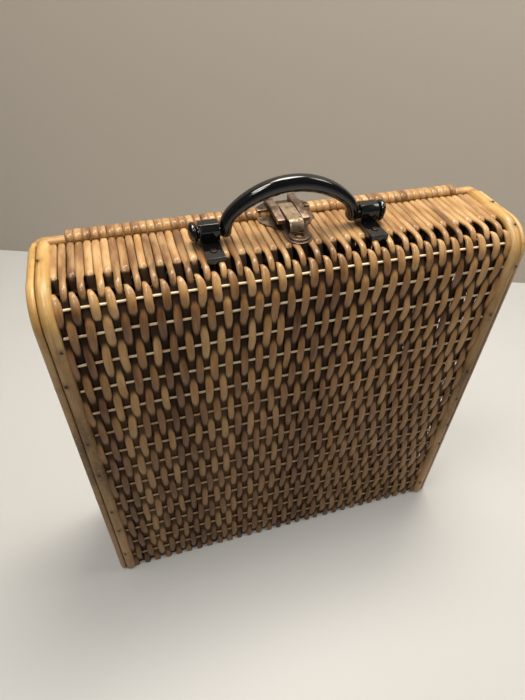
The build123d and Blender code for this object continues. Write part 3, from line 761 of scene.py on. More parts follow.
def grown(name, tree, values, place=None, points=None):
    """A plain mesh object made by a geometry tree, put in its place."""
    mesh = bpy.data.meshes.new(name)
    if points:
        mesh.from_pydata([spot for spot, facing in points], [], [])
        facing = mesh.attributes.new("facing", "FLOAT_VECTOR", "POINT")
        facing.data.foreach_set("vector", [number for spot, normal in points for number in normal])
    piece = bpy.data.objects.new(name, mesh)
    bpy.context.scene.collection.objects.link(piece)
    modifier = piece.modifiers.new("Growth", "NODES")
    modifier.node_group = tree
    for item in tree.interface.items_tree:
        if item.in_out == "INPUT" and item.name in values:
            modifier[item.identifier] = values[item.name]
    depsgraph = bpy.context.evaluated_depsgraph_get()
    final = bpy.data.meshes.new_from_object(
        piece.evaluated_get(depsgraph), preserve_all_data_layers=True, depsgraph=depsgraph
    )
    piece.modifiers.clear()
    piece.data = final
    bpy.data.meshes.remove(mesh)
    final.name = name
    if not final.polygons:
        raise RuntimeError(name + " came out empty")
    if place is not None:
        final.transform(place)
    outward(final)
    return piece


def outward(mesh):
    """Turns all faces of closed shells outwards."""
    shell = bmesh.new()
    shell.from_mesh(mesh)
    bmesh.ops.recalc_face_normals(shell, faces=shell.faces)
    shell.to_mesh(mesh)
    shell.free()


def attached(piece, body, slot, *nodes):
    """Lets a finished piece ride on its body in place of its solids."""
    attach(piece, body)
    if nodes:
        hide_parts(*nodes)
    return piece


def new_material(name):
    """A new material with its tree and its shader."""
    material = bpy.data.materials.new(name)
    material.use_nodes = True
    tree = material.node_tree
    return material, tree, tree.nodes["Principled BSDF"]


def attribute(tree, name, output="Fac"):
    """A number or vector kept on the mesh."""
    node = tree.nodes.new("ShaderNodeAttribute")
    node.attribute_name = name
    return Field(tree, node.outputs[output])


def object_place(tree):
    return Field(tree, tree.nodes.new("ShaderNodeTexCoord").outputs["Object"])


def scaled(place, x, y, z):
    """A vector stretched along each of its axes."""
    node = place.tree.nodes.new("ShaderNodeMapping")
    plug(place.tree, node.inputs["Vector"], place)
    node.inputs["Scale"].default_value = (x, y, z)
    return Field(place.tree, node.outputs[0])


def ramp(value, stops):
    """Colours along a number."""
    node = value.tree.nodes.new("ShaderNodeValToRGB")
    plug(value.tree, node.inputs[0], value)
    elements = node.color_ramp.elements
    while len(elements) < len(stops):
        elements.new(0.5)
    for element, (spot, shade) in zip(elements, stops):
        element.position = spot
        element.color = (*shade, 1)
    return Field(value.tree, node.outputs[0])


def mixed(first, second, share, way="MIX"):
    """A mix of two colours, which may be fields or plain colours."""
    tree = next(value.tree for value in (first, second, share) if isinstance(value, Field))
    node = tree.nodes.new("ShaderNodeMix")
    node.data_type = "RGBA"
    node.blend_type = way
    for socket, value in zip((node.inputs[0], node.inputs[6], node.inputs[7]), (share, first, second)):
        if not isinstance(value, Field) and socket is not node.inputs[0]:
            value = (*value, 1)
        plug(tree, socket, value)
    return Field(tree, node.outputs[2])


def finished(tree, shader, base, rough, height, bump, distance):
    """Plugs colour, roughness and a bump of this strength and height into a shader."""
    plug(tree, shader.inputs["Base Color"], base)
    plug(tree, shader.inputs["Roughness"], rough)
    node = tree.nodes.new("ShaderNodeBump")
    node.inputs["Strength"].default_value = bump
    node.inputs["Distance"].default_value = distance
    plug(tree, node.inputs["Height"], height)
    tree.links.new(node.outputs[0], shader.inputs["Normal"])


# Heights in metres, and a distance from the case's middle, between which a finish changes; rod_front and
# strip_front bound painted shade low on the case, and rod_top bounds painted light on its top.
rod_front = (0.12, 0.33)
rod_bend = (0.32, 0.36)
rod_top = (0.35, 0.367)
cane_foot = (0.0, 0.2)
cane_scuff = (0.22, 0.36)
cane_crown = (0.3, 0.37)
cane_end = (0.1, 0.17)
strip_front = (0.2, 0.35)


def rod_material(finish):
    """Split willow: long fibres, tones that differ from rod to rod, painted shade where a rod tucks under and
    low on the case, and painted light on the top.
    """
    material, tree, shader = new_material("split rod")
    fibre = attribute(tree, "fibre", "Vector")
    tone = attribute(tree, "tone")
    tuck = attribute(tree, "tuck")
    height = parts(object_place(tree))[2]
    streak = noise(scaled(fibre, 1500, 55, 9), detail=3.0)
    blotch = noise(scaled(fibre, 160, 38, 13), detail=3.0)
    speck = noise(scaled(fibre, 900, 420, 17), roughness=0.7)
    base = ramp(
        tone * 0.62 + blotch * 0.95 - 0.27,
        [
            (0.05, finish.rod_dark),
            (0.32, finish.rod_brown),
            (0.66, finish.rod_honey),
            (0.98, finish.rod_straw),
        ],
    )
    base = mixed(base, finish.rod_dark, ease(streak, 0.52, 0.78) * 0.45)
    base = mixed(base, finish.rod_straw, ease(streak, 0.44, 0.22) * 0.28)
    base = mixed(base, finish.rod_dark, ease(speck, 0.63, 0.74) * 0.5)
    # Painted shade: where a rod tucks under, its colour goes nearly black, a little less so low on the case
    # where light bounces up from the floor; the same mask also makes it rougher and takes its coat away.
    hidden = ease(tuck, 0.46, 0.8)
    upper = ease(height, *rod_front)
    # Painted light: the rods on the top are paled in patches, so that the top reads brighter.
    top_light = ease(height, *rod_top) * (0.06 + ease(blotch, 0.4, 0.65) * 0.25)
    # Partly a light brown tint that all rods share, partly painted shade that browns the rods more the lower
    # they lie on the case.
    base = mixed(base, finish.rod_low_shade, 0.12 + (1.0 - upper) * 0.38)
    base = mixed(base, finish.rod_top_light, top_light)
    base = mixed(base, finish.rod_tuck_shade, hidden * (0.66 + upper * 0.28))
    rough = 0.27 + streak * 0.2 + hidden * 0.5
    shader.inputs["Specular IOR Level"].default_value = 0.26
    plug(tree, shader.inputs["Coat Weight"], (0.1 + ease(height, *rod_bend) * 0.35) * (1.0 - hidden))
    shader.inputs["Coat Roughness"].default_value = 0.12
    finished(tree, shader, base, rough, streak * 0.7 + speck * 0.3, 0.35, 0.0004)
    return material


def cane_material(finish):
    """Varnished cane: golden with pale streaks, knots and nail stains, browner and scuffed lower down."""
    material, tree, shader = new_material("varnished cane")
    fibre = attribute(tree, "fibre", "Vector")
    knot = attribute(tree, "knot")
    stain = attribute(tree, "stain")
    place = parts(object_place(tree))
    along = calculate("ABSOLUTE", place[0])
    height = place[2]
    streak = noise(scaled(fibre, 900, 26, 11), detail=3.0)
    blotch = noise(scaled(fibre, 110, 22, 5), detail=4.0, roughness=0.6)
    speck = noise(scaled(fibre, 700, 260, 7), roughness=0.7)
    base = mixed(finish.cane_gold, finish.cane_pale, ease(blotch, 0.42, 0.68))
    base = mixed(base, finish.cane_brown, ease(streak, 0.5, 0.74) * 0.5)
    base = mixed(base, finish.cane_brown, ease(blotch, 0.46, 0.28) * 0.55)
    base = mixed(base, finish.cane_brown, ease(speck, 0.62, 0.72) * 0.55)
    warm = ease(along, *cane_end) * (1.0 - ease(height, *cane_crown))
    scuffed = (1.0 - ease(height, *cane_scuff)) * ease(height, *cane_foot)
    base = mixed(base, finish.cane_warm, warm * 0.5)
    base = mixed(base, finish.cane_scuffed, scuffed * (0.4 + ease(blotch, 0.62, 0.36) * 0.5))
    base = mixed(base, finish.cane_bare, scuffed * ease(speck, 0.46, 0.3) * 0.5)
    base = mixed(base, finish.cane_brown, knot * 0.55)
    base = mixed(base, finish.cane_stain, stain)
    rough = 0.24 + streak * 0.22 + blotch * 0.12 + scuffed * 0.2
    shader.inputs["Specular IOR Level"].default_value = 0.4
    plug(tree, shader.inputs["Coat Weight"], 0.25 - scuffed * 0.2)
    shader.inputs["Coat Roughness"].default_value = 0.2
    finished(tree, shader, base, rough, streak * 0.6 + blotch * 0.4 - knot * 0.3, 0.3, 0.0005)
    return material


def strip_material(finish):
    """Peeled cross strips: cream with fine fibres, with painted shade that browns them lower down."""
    material, tree, shader = new_material("peeled strip")
    fibre = attribute(tree, "fibre", "Vector")
    tone = attribute(tree, "tone")
    height = parts(object_place(tree))[2]
    streak = noise(scaled(fibre, 1800, 40, 3), detail=3.0)
    blotch = noise(scaled(fibre, 200, 30, 3))
    base = mixed(finish.strip_cream, finish.rod_honey, ease(blotch + tone * 0.3, 0.5, 0.95) * 0.7)
    base = mixed(base, finish.rod_brown, ease(streak, 0.56, 0.8) * 0.4)
    # Painted shade: the strips are browned the lower they lie on the case.
    base = mixed(base, finish.rod_brown, (1.0 - ease(height, *strip_front)) * 0.72)
    finished(tree, shader, base, 0.4 + streak * 0.2, streak, 0.25, 0.0003)
    return material


def plastic_material(finish):
    """Moulded black plastic: glossy, with dull patches, fine scratches and greyer edges."""
    material, tree, shader = new_material("moulded black")
    place = object_place(tree)
    wear = attribute(tree, "wear")
    patch = noise(scaled(place, 60, 60, 60), detail=3.0)
    scratch = noise(scaled(place, 90, 1400, 700), roughness=0.6)
    base = mixed(finish.plastic_black, finish.plastic_worn, ease(wear, 0.35, 0.95) * 0.5)
    base = mixed(base, finish.plastic_scratch, ease(scratch, 0.6, 0.75) * 0.4)
    rough = 0.08 + ease(patch, 0.4, 0.7) * 0.05 + ease(scratch, 0.58, 0.75) * 0.08
    shader.inputs["Specular IOR Level"].default_value = 0.8
    finished(tree, shader, base, rough, patch * 0.6 + scratch * 0.2, 0.04, 0.0005)
    return material


def bronze_material(name, dark, worn, patina, satin):
    """Aged bronze: dark in the hollows, rubbed bright on the edges, with spots of patina."""
    material, tree, shader = new_material(name)
    place = object_place(tree)
    wear = attribute(tree, "wear")
    patch = noise(scaled(place, 210, 210, 210), detail=4.0, roughness=0.65)
    grain = noise(scaled(place, 1600, 500, 900))
    rubbed = ease(wear * 0.9 + patch * 0.75 - 0.1, 0.4, 0.85)
    base = mixed(dark, worn, rubbed * satin + (1.0 - satin) * ease(patch, 0.2, 0.45))
    base = mixed(base, patina, ease(patch, 0.56, 0.7) * 0.7)
    rough = 0.28 + ease(patch, 0.45, 0.7) * 0.3 + grain * 0.1
    shader.inputs["Metallic"].default_value = 0.9
    finished(tree, shader, base, rough, patch * 0.7 + grain * 0.3, 0.35, 0.0004)
    return material


def nail_material(finish):
    """Rusty iron nail heads."""
    material, tree, shader = new_material("rusty iron")
    patch = noise(scaled(object_place(tree), 900, 900, 900), detail=3.0)
    base = mixed(finish.nail_iron, finish.nail_rust, ease(patch, 0.5, 0.72))
    shader.inputs["Metallic"].default_value = 0.5
    finished(tree, shader, base, 0.45 + patch * 0.3, patch, 0.4, 0.0002)
    return material


def once(name, make, *values):
    """A tree or material by its name, made at its first use."""
    if name not in made:
        made[name] = make(*values)
    return made[name]


made = {}
tray_place = Matrix.Translation((0, seam, crown)) @ Matrix.Rotation(math.pi, 4, "Z")


def tray_path(weave):
    """How the tray's wrap runs from the seam over the bend to its foot."""
    flat = seam - front - weave.bend_radius
    bend = weave.bend_radius * quarter_turn
    return flat, bend, flat + bend + crown - weave.bend_radius


def lid_path(weave):
    """How the lid's wrap runs from the seam over the back's bend to its foot, and where it starts."""
    flat = back - lid_seam - weave.lid_bend_radius
    bend = weave.lid_bend_radius * quarter_turn
    top = lid_crest + weave.lid_level
    hang_start = flat + bend
    whole = hang_start + top - weave.lid_bend_radius - lid_lift
    first_strip = hang_start + top - crown + weave.strip_drop - weave.lid_bend_radius
    return flat, hang_start, whole, first_strip, Matrix.Translation((0, lid_seam, top))


def end_place(side):
    """Where an end wall's mat starts: at the top of that end, facing out."""
    turned = Matrix(((0, 0, side, side * half_length), (1, 0, 0, 0), (0, -1, 0, end_high.z), (0, 0, 0, 1)))
    return Matrix.Translation((0, (end_high.y + end_low.y) / 2, 0)) @ turned


def mat_values(weave, finish):
    """What all the woven walls have in common."""
    return {
        "Rods": weave.rods,
        "Pitch": weave.rod_pitch,
        "Rod Width": weave.rod_width,
        "Rod Thickness": weave.rod_thickness,
        "Strip Thickness": weave.strip_thickness,
        "Strip Pitch": weave.strip_pitch,
        "Material": once("split rod", rod_material, finish),
    }


class PICNIC_OT_woven_walls(bpy.types.Operator):
    """Weaves the tray's bent wall, its floor and ends, and the lid"""

    bl_idname = "picnic.woven_walls"
    bl_label = "Weave Walls"

    def execute(self, context):
        weave = context.scene.picnic_weave
        tree = once("woven mat", woven_mat_tree)
        common = mat_values(weave, context.scene.picnic_finish)
        flat, bend, whole = tray_path(weave)
        tray = grown(
            "tray_rods",
            tree,
            {
                **common,
                "Length": whole - weave.foot_gap,
                "Flat": flat,
                "Radius": weave.bend_radius,
                "Strip Depth": weave.strip_depth,
                "Top Level": weave.top_level,
                "First Strip": flat + weave.bend_strip_angle * weave.bend_radius,
                "Second Strip": flat + bend + weave.strip_drop - weave.bend_radius,
                "Dive": weave.dive,
                "Dive Start": flat - weave.dive_lead,
                "Samples": 160,
                "Seed": 11,
            },
            tray_place,
        )
        attached(tray, "tray", "woven_rod", "tray_weave")

        flat, hang_start, whole, first_strip, lid_place = lid_path(weave)
        forward = weave.lid_level + weave.lid_overhang
        extra = forward + weave.lid_curl * (quarter_turn - 1)
        first_strip += extra
        lid = grown(
            "lid_rods",
            tree,
            {
                **common,
                "Length": whole + extra,
                "Flat": flat + forward,
                "Radius": weave.lid_bend_radius,
                "Curl": weave.lid_curl,
                "Rod Thickness": weave.lid_rod_thickness,
                "Rod Width": weave.lid_rod_width,
                "Blunt": weave.lid_blunt,
                "Short Rods": weave.lid_short_rods,
                "Short Start": hang_start + extra + weave.lid_short_drop,
                "Strip Depth": weave.lid_strip_depth,
                "Top Level": weave.lid_level,
                "First Strip": first_strip,
                "Second Strip": first_strip + weave.strip_pitch,
                "Dive Start": first_strip - weave.lid_flat_end,
                "Samples": 160,
                "Seed": 23,
            },
            Matrix.Translation((0, -forward, 0)) @ lid_place,
        )
        attached(lid, "lid", "woven_rod", "lid_weave")

        under = grown(
            "floor_rods",
            tree,
            {
                **common,
                "Length": floor_high.y - floor_low.y,
                "Flat": straight_run,
                "Strip Depth": weave.strip_depth,
                "Top Level": weave.top_level,
                "First Strip": weave.floor_strip_drop,
                "Second Strip": weave.floor_strip_drop + weave.strip_pitch,
                "Dive Start": 0.0,
                "Samples": 30,
                "Seed": 31,
            },
            Matrix.Translation((0, floor_high.y, 0)) @ Matrix.Rotation(math.pi, 4, "X"),
        )
        attached(under, "tray", "woven_rod", "tray_floor")

        end_rods = round(end_width / weave.rod_pitch)
        for side, name in both_sides:
            end = grown(
                name + "_end_rods",
                tree,
                {
                    **common,
                    "Rods": end_rods,
                    "Pitch": end_width / (end_rods + weave.end_spare),
                    "Length": end_high.z - end_low.z,
                    "Flat": straight_run,
                    "Strip Depth": weave.end_strip_depth,
                    "Top Level": weave.end_level,
                    "First Strip": weave.end_strip_drop,
                    "Second Strip": weave.end_strip_drop + weave.strip_pitch,
                    "Dive Start": weave.end_flat,
                    "Corner": weave.bend_radius - weave.end_corner_inset,
                    "Samples": 130,
                    "Seed": 41 + side,
                },
                end_place(side),
            )
            attached(end, "tray", "woven_rod", name + "_end_panel")
        return {"FINISHED"}


class PICNIC_OT_cross_strips(bpy.types.Operator):
    """Lays the pale strips that the rods are woven over"""

    bl_idname = "picnic.cross_strips"
    bl_label = "Lay Cross Strips"

    def execute(self, context):
        weave = context.scene.picnic_weave
        tree = once("cross strips", strip_tree)
        common = {
            "Strips": weave.strip_count,
            "Length": strip_length,
            "Pitch": weave.strip_pitch,
            "Width": weave.strip_width,
            "Thickness": weave.strip_thickness,
            "Material": once("peeled strip", strip_material, context.scene.picnic_finish),
        }
        flat, bend, _ = tray_path(weave)
        wrap = {
            **common,
            "Flat": flat,
            "Radius": weave.bend_radius,
            "Depth": weave.strip_depth - weave.strip_lift,
        }
        straight = {"First": flat + bend + weave.strip_drop - weave.bend_radius, "Seed": 5}
        wall = grown("tray_strips", tree, {**wrap, **straight}, tray_place)
        attached(wall, "tray", "pale_strip", "tray_skewers")
        on_bend = {
            "Strips": 1,
            "First": flat + weave.bend_strip_angle * weave.bend_radius,
            "Width": weave.bend_strip_width,
            "Seed": 9,
        }
        bent = grown("bend_strip", tree, {**wrap, **on_bend}, tray_place)
        attached(bent, "tray", "pale_strip")
        for side, name in both_sides:
            end = grown(
                name + "_end_strips",
                tree,
                {
                    **common,
                    "Length": end_width,
                    "Flat": straight_run,
                    "Depth": weave.end_strip_depth,
                    "First": weave.end_strip_drop,
                    "Samples": 20,
                    "Seed": 13 + side,
                },
                end_place(side),
            )
            attached(end, "tray", "pale_strip")
        flat, _, _, first, lid_place = lid_path(weave)
        lid = grown(
            "lid_strips",
            tree,
            {
                **common,
                "Flat": flat,
                "Radius": weave.lid_bend_radius,
                "Depth": weave.lid_strip_depth,
                "First": first,
                "Seed": 15,
            },
            lid_place,
        )
        attached(lid, "lid", "pale_strip", "lid_skewers")
        return {"FINISHED"}


# How a nail's stain fades outwards, and its strength at the nail.
stain_fade = 1.5
stain_strength = 0.85


def stained(piece, points, radius):
    """Darkens a cane round its nails."""
    tree = KDTree(max(len(points), 1))
    for index, (spot, _) in enumerate(points):
        tree.insert(spot, index)
    tree.balance()
    layer = piece.data.attributes.new("stain", "FLOAT", "POINT")
    for index, vertex in enumerate(piece.data.vertices):
        gap = tree.find(vertex.co)[2] if points else radius
        layer.data[index].value = max(0.0, 1.0 - gap / radius) ** stain_fade * stain_strength


def wrap_spot(run, across, flat, radius, place):
    """A point on the crown of a wrap and the way it faces."""
    turn = min(max((run - flat) / radius, 0), quarter_turn)
    hang = max(run - flat - radius * quarter_turn, 0)
    spot = Vector((across, min(run, flat) + radius * math.sin(turn), radius * math.cos(turn) - radius - hang))
    facing = Vector((0, math.sin(turn), math.cos(turn)))
    return place @ spot, (place.to_3x3() @ facing).normalized()


def rail_nails(seed, across, flat, whole, radius, place, cane):
    """Nails down a rail, at uneven steps."""
    chancy = random.Random(seed)
    points = []
    run = cane.nail_pitch * 0.5
    while run < whole - cane.nail_margin:
        offset = chancy.uniform(-cane.nail_stray, cane.nail_stray)
        points.append(wrap_spot(run, across + offset, flat, radius, place))
        run += cane.nail_pitch * chancy.uniform(0.5, 1.5)
    return points


def nailed(name, body, points, radius, dome, seed, finish):
    """Drives nails at points, each with the way it faces."""
    heads = grown(
        name,
        once("nail heads", nail_tree),
        {
            "Radius": radius,
            "Dome": dome,
            "Seed": seed,
            "Material": once("rusty iron", nail_material, finish),
        },
        points=points,
    )
    attached(heads, body, "rivet")


class PICNIC_OT_cane_rails(bpy.types.Operator):
    """Bends the cane rails round the case's two ends and nails them down"""

    bl_idname = "picnic.cane_rails"
    bl_label = "Bend Cane Rails"

    def execute(self, context):
        weave = context.scene.picnic_weave
        cane = context.scene.picnic_cane
        finish = context.scene.picnic_finish
        tree = once("cane", cane_tree)
        flat, _, whole = tray_path(weave)
        common = {
            "Length": whole,
            "Flat": flat,
            "Radius": weave.bend_radius,
            "Knot Pitch": cane.knot_pitch,
            "Material": once("varnished cane", cane_material, finish),
        }
        nails = []
        for side, name in both_sides:
            across = -side * (half_length - rail_width / 2)
            edge = grown(
                name + "_edge_cane",
                tree,
                {
                    **common,
                    "Across": across,
                    "Width": rail_width,
                    "Height": rail_height,
                    "Depth": rail_height,
                    "Seed": 3 + side,
                },
                tray_place,
            )
            points = rail_nails(3 + side, across, flat, whole, weave.bend_radius, tray_place, cane)
            stained(edge, points, cane.stain_radius)
            nails += points
            attached(edge, "tray", "cane_rail", name + "_edge_rail")
            outer = grown(
                name + "_outer_cane",
                tree,
                {
                    **common,
                    "Across": -side * half_length,
                    "Width": cane.outer_width,
                    "Height": outer_bulge,
                    "Depth": cane.outer_inset + cane.outer_width / 2,
                    "Sideways": float(-side),
                    "Seed": 43 + side,
                },
                tray_place,
            )
            stained(outer, [], cane.stain_radius)
            attached(outer, "tray", "cane_rail", name + "_side_rail")
        nailed("tray_rail_nails", "tray", nails, cane.nail_radius, cane.nail_dome, 2, finish)
        return {"FINISHED"}


def cane_lie(name, low, high):
    """Where a straight cane starts and how it is turned, and its length, width and height."""
    size = high - low
    middle = (low + high) / 2
    side = 1 if middle.x > 0 else -1
    outer = high.x if side > 0 else low.x
    axis = max(range(3), key=lambda index: size[index])
    if axis == 0:
        rows = (0, 1, 0, low.x), (1, 0, 0, middle.y), (0, 0, 1, high.z)
        width, height = size.y, size.z
    elif axis == 2 and name.endswith("_side_rail"):
        rows = (0, 0, side, outer), (1, 0, 0, middle.y), (0, 1, 0, low.z)
        width, height = size.y, size.x
    elif axis == 2:
        rows = (1, 0, 0, middle.x), (0, 0, 1, high.y), (0, 1, 0, low.z)
        width, height = size.x, size.y
    elif name.endswith("_foot_rail"):
        rows = (1, 0, 0, middle.x), (0, 1, 0, low.y), (0, 0, -1, low.z)
        width, height = size.x, size.z
    else:
        rows = (0, 0, side, outer), (0, 1, 0, low.y), (1, 0, 0, middle.z)
        width, height = size.z, size.x
    return Matrix((*rows, (0, 0, 0, 1))), size[axis], width, height


class PICNIC_OT_straight_canes(bpy.types.Operator):
    """Lays the straight canes: the foot rails, the sills, the tray's mouth and the lid's frame and rails"""

    bl_idname = "picnic.straight_canes"
    bl_label = "Lay Straight Canes"

    def execute(self, context):
        cane = context.scene.picnic_cane
        finish = context.scene.picnic_finish
        tree = once("cane", cane_tree)
        ends = ("left", "right")
        edges = ("top", "bottom", "left", "right")
        names = [(end + kind, "tray") for end in ends for kind in ("_foot_rail", "_side_sill")]
        names += [(body + "_rim_" + edge, body) for body in ("tray", "lid") for edge in edges]
        names += [("lid_" + end + kind, "lid") for end in ends for kind in ("_edge_rail", "_side_rail")]
        lid_nails = []
        for seed, (name, body) in enumerate(names):
            low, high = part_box(name)
            if name == "lid_rim_top":
                high = Vector((high.x, low.y + cane.lid_cane, high.z - cane.lid_cane_drop))
                low.z = high.z - cane.lid_cane
            way, run, width, height = cane_lie(name, low, high)
            values = {
                "Length": run,
                "Flat": straight_run,
                "Width": width,
                "Height": height,
                "Depth": height,
                "Round": 0.0 if name.endswith(("_rail", "_sill")) else 1.0,
                "Knot Pitch": cane.knot_pitch,
                "Seed": seed + 60,
                "Samples": 90,
                "Material": once("varnished cane", cane_material, finish),
            }
            bar = grown(name + "_cane", tree, values, way)
            points = []
            if name.startswith("lid_") and name.endswith("_edge_rail"):
                points = rail_nails(seed, 0.0, run, run, straight_run, way, cane)
            stained(bar, points, cane.stain_radius)
            lid_nails += points
            attached(bar, body, "cane_rail", name)
        nailed("lid_rail_nails", "lid", lid_nails, cane.nail_radius, cane.nail_dome, 2, finish)
        return {"FINISHED"}


# Gap and angle under which a solid's points and faces are joined, angles over which its edges are rounded
# or drawn sharp, and how fast bare edges wear.
merge_gap = 0.00002
flat_angle = math.radians(2)
rounded_angle = math.radians(25)
sharp_angle = math.radians(50)
wear_gain = 3.0


def softened(node, name, width, paint, segments=3):
    """A copy of a solid with merged corners, rounded edges and its wear kept on the points."""
    body = bmesh.new()
    body.from_mesh(frame["nodes"][node].data)
    bmesh.ops.remove_doubles(body, verts=body.verts, dist=merge_gap)
    bmesh.ops.dissolve_limit(body, angle_limit=flat_angle, verts=body.verts, edges=body.edges)
    mesh = bpy.data.meshes.new(name)
    body.to_mesh(mesh)
    body.free()
    piece = bpy.data.objects.new(name, mesh)
    bpy.context.scene.collection.objects.link(piece)
    bevel = piece.modifiers.new("Rounding", "BEVEL")
    bevel.width = width
    bevel.segments = segments
    bevel.limit_method = "ANGLE"
    bevel.angle_limit = rounded_angle
    bevel.use_clamp_overlap = True
    return solidly(piece, paint)


def solidly(piece, paint):
    """Applies a piece's modifiers, smooths it, keeps its wear and paints it."""
    depsgraph = bpy.context.evaluated_depsgraph_get()
    final = bpy.data.meshes.new_from_object(piece.evaluated_get(depsgraph), depsgraph=depsgraph)
    piece.modifiers.clear()
    piece.data = final
    final.materials.clear()
    final.materials.append(paint)
    final.polygons.foreach_set("use_smooth", [True] * len(final.polygons))
    final.set_sharp_from_angle(angle=sharp_angle)
    edge_wear(final)
    return piece


def edge_wear(mesh):
    """Keeps on each point how far it stands out from its neighbours, from 0 on flats to 1 on edges."""
    shape = bmesh.new()
    shape.from_mesh(mesh)
    layer = mesh.attributes.new("wear", "FLOAT", "POINT")
    for vertex in shape.verts:
        ways = [(edge.other_vert(vertex).co - vertex.co) for edge in vertex.link_edges]
        ways = [way.normalized() for way in ways if way.length > 1e-7]
        bend = sum(-way.dot(vertex.normal) for way in ways) / max(len(ways), 1)
        layer.data[vertex.index].value = min(max(bend * wear_gain, 0.0), 1.0)
    shape.free()


def lofted(name, rings, paint):
    """A closed skin over a row of rings of points, with flat ends."""
    shape = bmesh.new()
    rows = [[shape.verts.new(spot) for spot in ring] for ring in rings]
    for row, after in zip(rows, rows[1:]):
        for index in range(len(row)):
            nearby = (index + 1) % len(row)
            shape.faces.new((row[index], row[nearby], after[nearby], after[index]))
    shape.faces.new(rows[0])
    shape.faces.new(rows[-1])
    bmesh.ops.recalc_face_normals(shape, faces=shape.faces)
    mesh = bpy.data.meshes.new(name)
    shape.to_mesh(mesh)
    shape.free()
    piece = bpy.data.objects.new(name, mesh)
    bpy.context.scene.collection.objects.link(piece)
    return solidly(piece, paint)


def arch_spot(angle, half, rise, corner):
    """The point of the handle's outline that faces this angle: tight end arcs, a slack one between."""
    slack = (half * half + rise * rise - 2 * half * corner) / (2 * (rise - corner))
    turn = math.atan2(slack - rise, half - corner)
    if angle < turn:
        return Vector((half - corner + corner * math.cos(angle), 0, corner * math.sin(angle)))
    if angle > math.pi - turn:
        return Vector((corner - half + corner * math.cos(angle), 0, corner * math.sin(angle)))
    return Vector((slack * math.cos(angle), 0, rise - slack + slack * math.sin(angle)))


def oval(middle, wide, deep, power=2.5, points=28):
    """A squarish ring round a middle, spread along two half axes."""
    ring = []
    for index in range(points):
        angle = full_turn * index / points
        first = math.copysign(abs(math.cos(angle)) ** (2 / power), math.cos(angle))
        second = math.copysign(abs(math.sin(angle)) ** (2 / power), math.sin(angle))
        ring.append(middle + wide * first + deep * second)
    return ring


# A button's outline: metres on from its neck or back from its tip, then shares of its radius and its lift.
neck_outline = (
    (0.0002, 0.66, 0.2),
    (0.001, 0.72, 0.3),
    (0.0014, 0.92, 0.4),
    (0.0022, 1.0, 0.5),
    (0.0034, 1.0, 0.7),
)
tip_outline = (
    (0.0028, 0.9, 1.3),
    (0.0015, 0.78, 1.6),
    (0.0006, 0.6, 1.8),
    (0.0, 0.3, 2.0),
)


def grip_rings(handle):
    """Rings along the handle's bar, from the round end of one arm over the arch to the other."""
    arch_steps = 72
    arm_steps = 5
    inner_half = handle.half_width - handle.arm_thickness
    inner_rise = handle.rise - handle.grip_thickness
    corner = handle.corner_share * handle.rise
    inner_corner = handle.inner_corner_share * inner_rise
    deep = Vector((0, handle.depth / 2, 0))

    def ring(angle, turn=0.0):
        outer = arch_spot(angle, handle.half_width, handle.rise, corner)
        inner = arch_spot(angle, inner_half, inner_rise, inner_corner)
        shrink = max(math.cos(turn), handle.arm_end_share)
        middle = (outer + inner) / 2 - Vector((0, 0, handle.arm_drop * math.sin(turn)))
        return oval(handle_pivot + middle, (outer - inner) / 2 * shrink, deep * shrink)

    turns = [quarter_turn * (1 - step / (arm_steps + 1)) for step in range(arm_steps + 1)]
    rings = [ring(0.0, turn) for turn in turns]
    rings += [ring(math.pi * step / arch_steps) for step in range(arch_steps + 1)]
    return rings + [ring(math.pi, turn) for turn in reversed(turns)]


def button_rings(handle, side):
    """Rings along a pin and its button, from inside the arm out to the tip."""
    start = handle.half_width - handle.arm_thickness / 2
    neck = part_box("right_handle_bracket")[1].x + handle.button_gap
    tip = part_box("carry_handle")[1].x
    profile = [
        (start, 0.5 * handle.pin_radius, 0.0),
        (start + handle.pin_chamfer, handle.pin_radius, 0.0),
        (neck, handle.pin_radius, 0.0),
    ]
    spots = [(neck + run, size, lift) for run, size, lift in neck_outline]
    spots += [(tip - run, size, lift) for run, size, lift in tip_outline]
    profile += [(x, size * handle.button_radius, lift * handle.button_lift) for x, size, lift in spots]
    rings = []
    for x, radius, rise in profile:
        middle = Vector((side * x, handle_pivot.y, handle_pivot.z + rise))
        rings.append(oval(middle, Vector((0, radius, 0)), Vector((0, 0, radius)), power=2.0, points=32))
    return rings


class PICNIC_OT_carry_handle(bpy.types.Operator):
    """Moulds the handle, its pins and buttons, and the two brackets that hold it"""

    bl_idname = "picnic.carry_handle"
    bl_label = "Mould Handle"

    def execute(self, context):
        handle = context.scene.picnic_handle
        finish = context.scene.picnic_finish
        paint = once("moulded black", plastic_material, finish)
        grip = lofted("handle_grip", grip_rings(handle), paint)
        attached(grip, "handle", "black_plastic", "carry_handle")
        for side, name in both_sides:
            button = lofted(name + "_handle_button", button_rings(handle, side), paint)
            attached(button, "handle", "black_plastic")
            node = name + "_handle_bracket"
            bracket = softened(node, name + "_bracket_moulding", handle.bracket_rounding, paint, 4)
            attached(bracket, "tray", "black_plastic", node)
        copper = bronze("rivet copper", finish.nail_iron, finish.rivet_red, finish, 0.8)
        rivets = softened("bracket_rivets", "strap_rivets", handle.rivet_rounding, copper)
        attached(rivets, "tray", "rivet", "bracket_rivets")
        return {"FINISHED"}


def bronze(name, dark, worn, finish, satin):
    """A bronze by its name, made at its first use."""
    return once(name, bronze_material, name, dark, worn, finish.bronze_patina, satin)


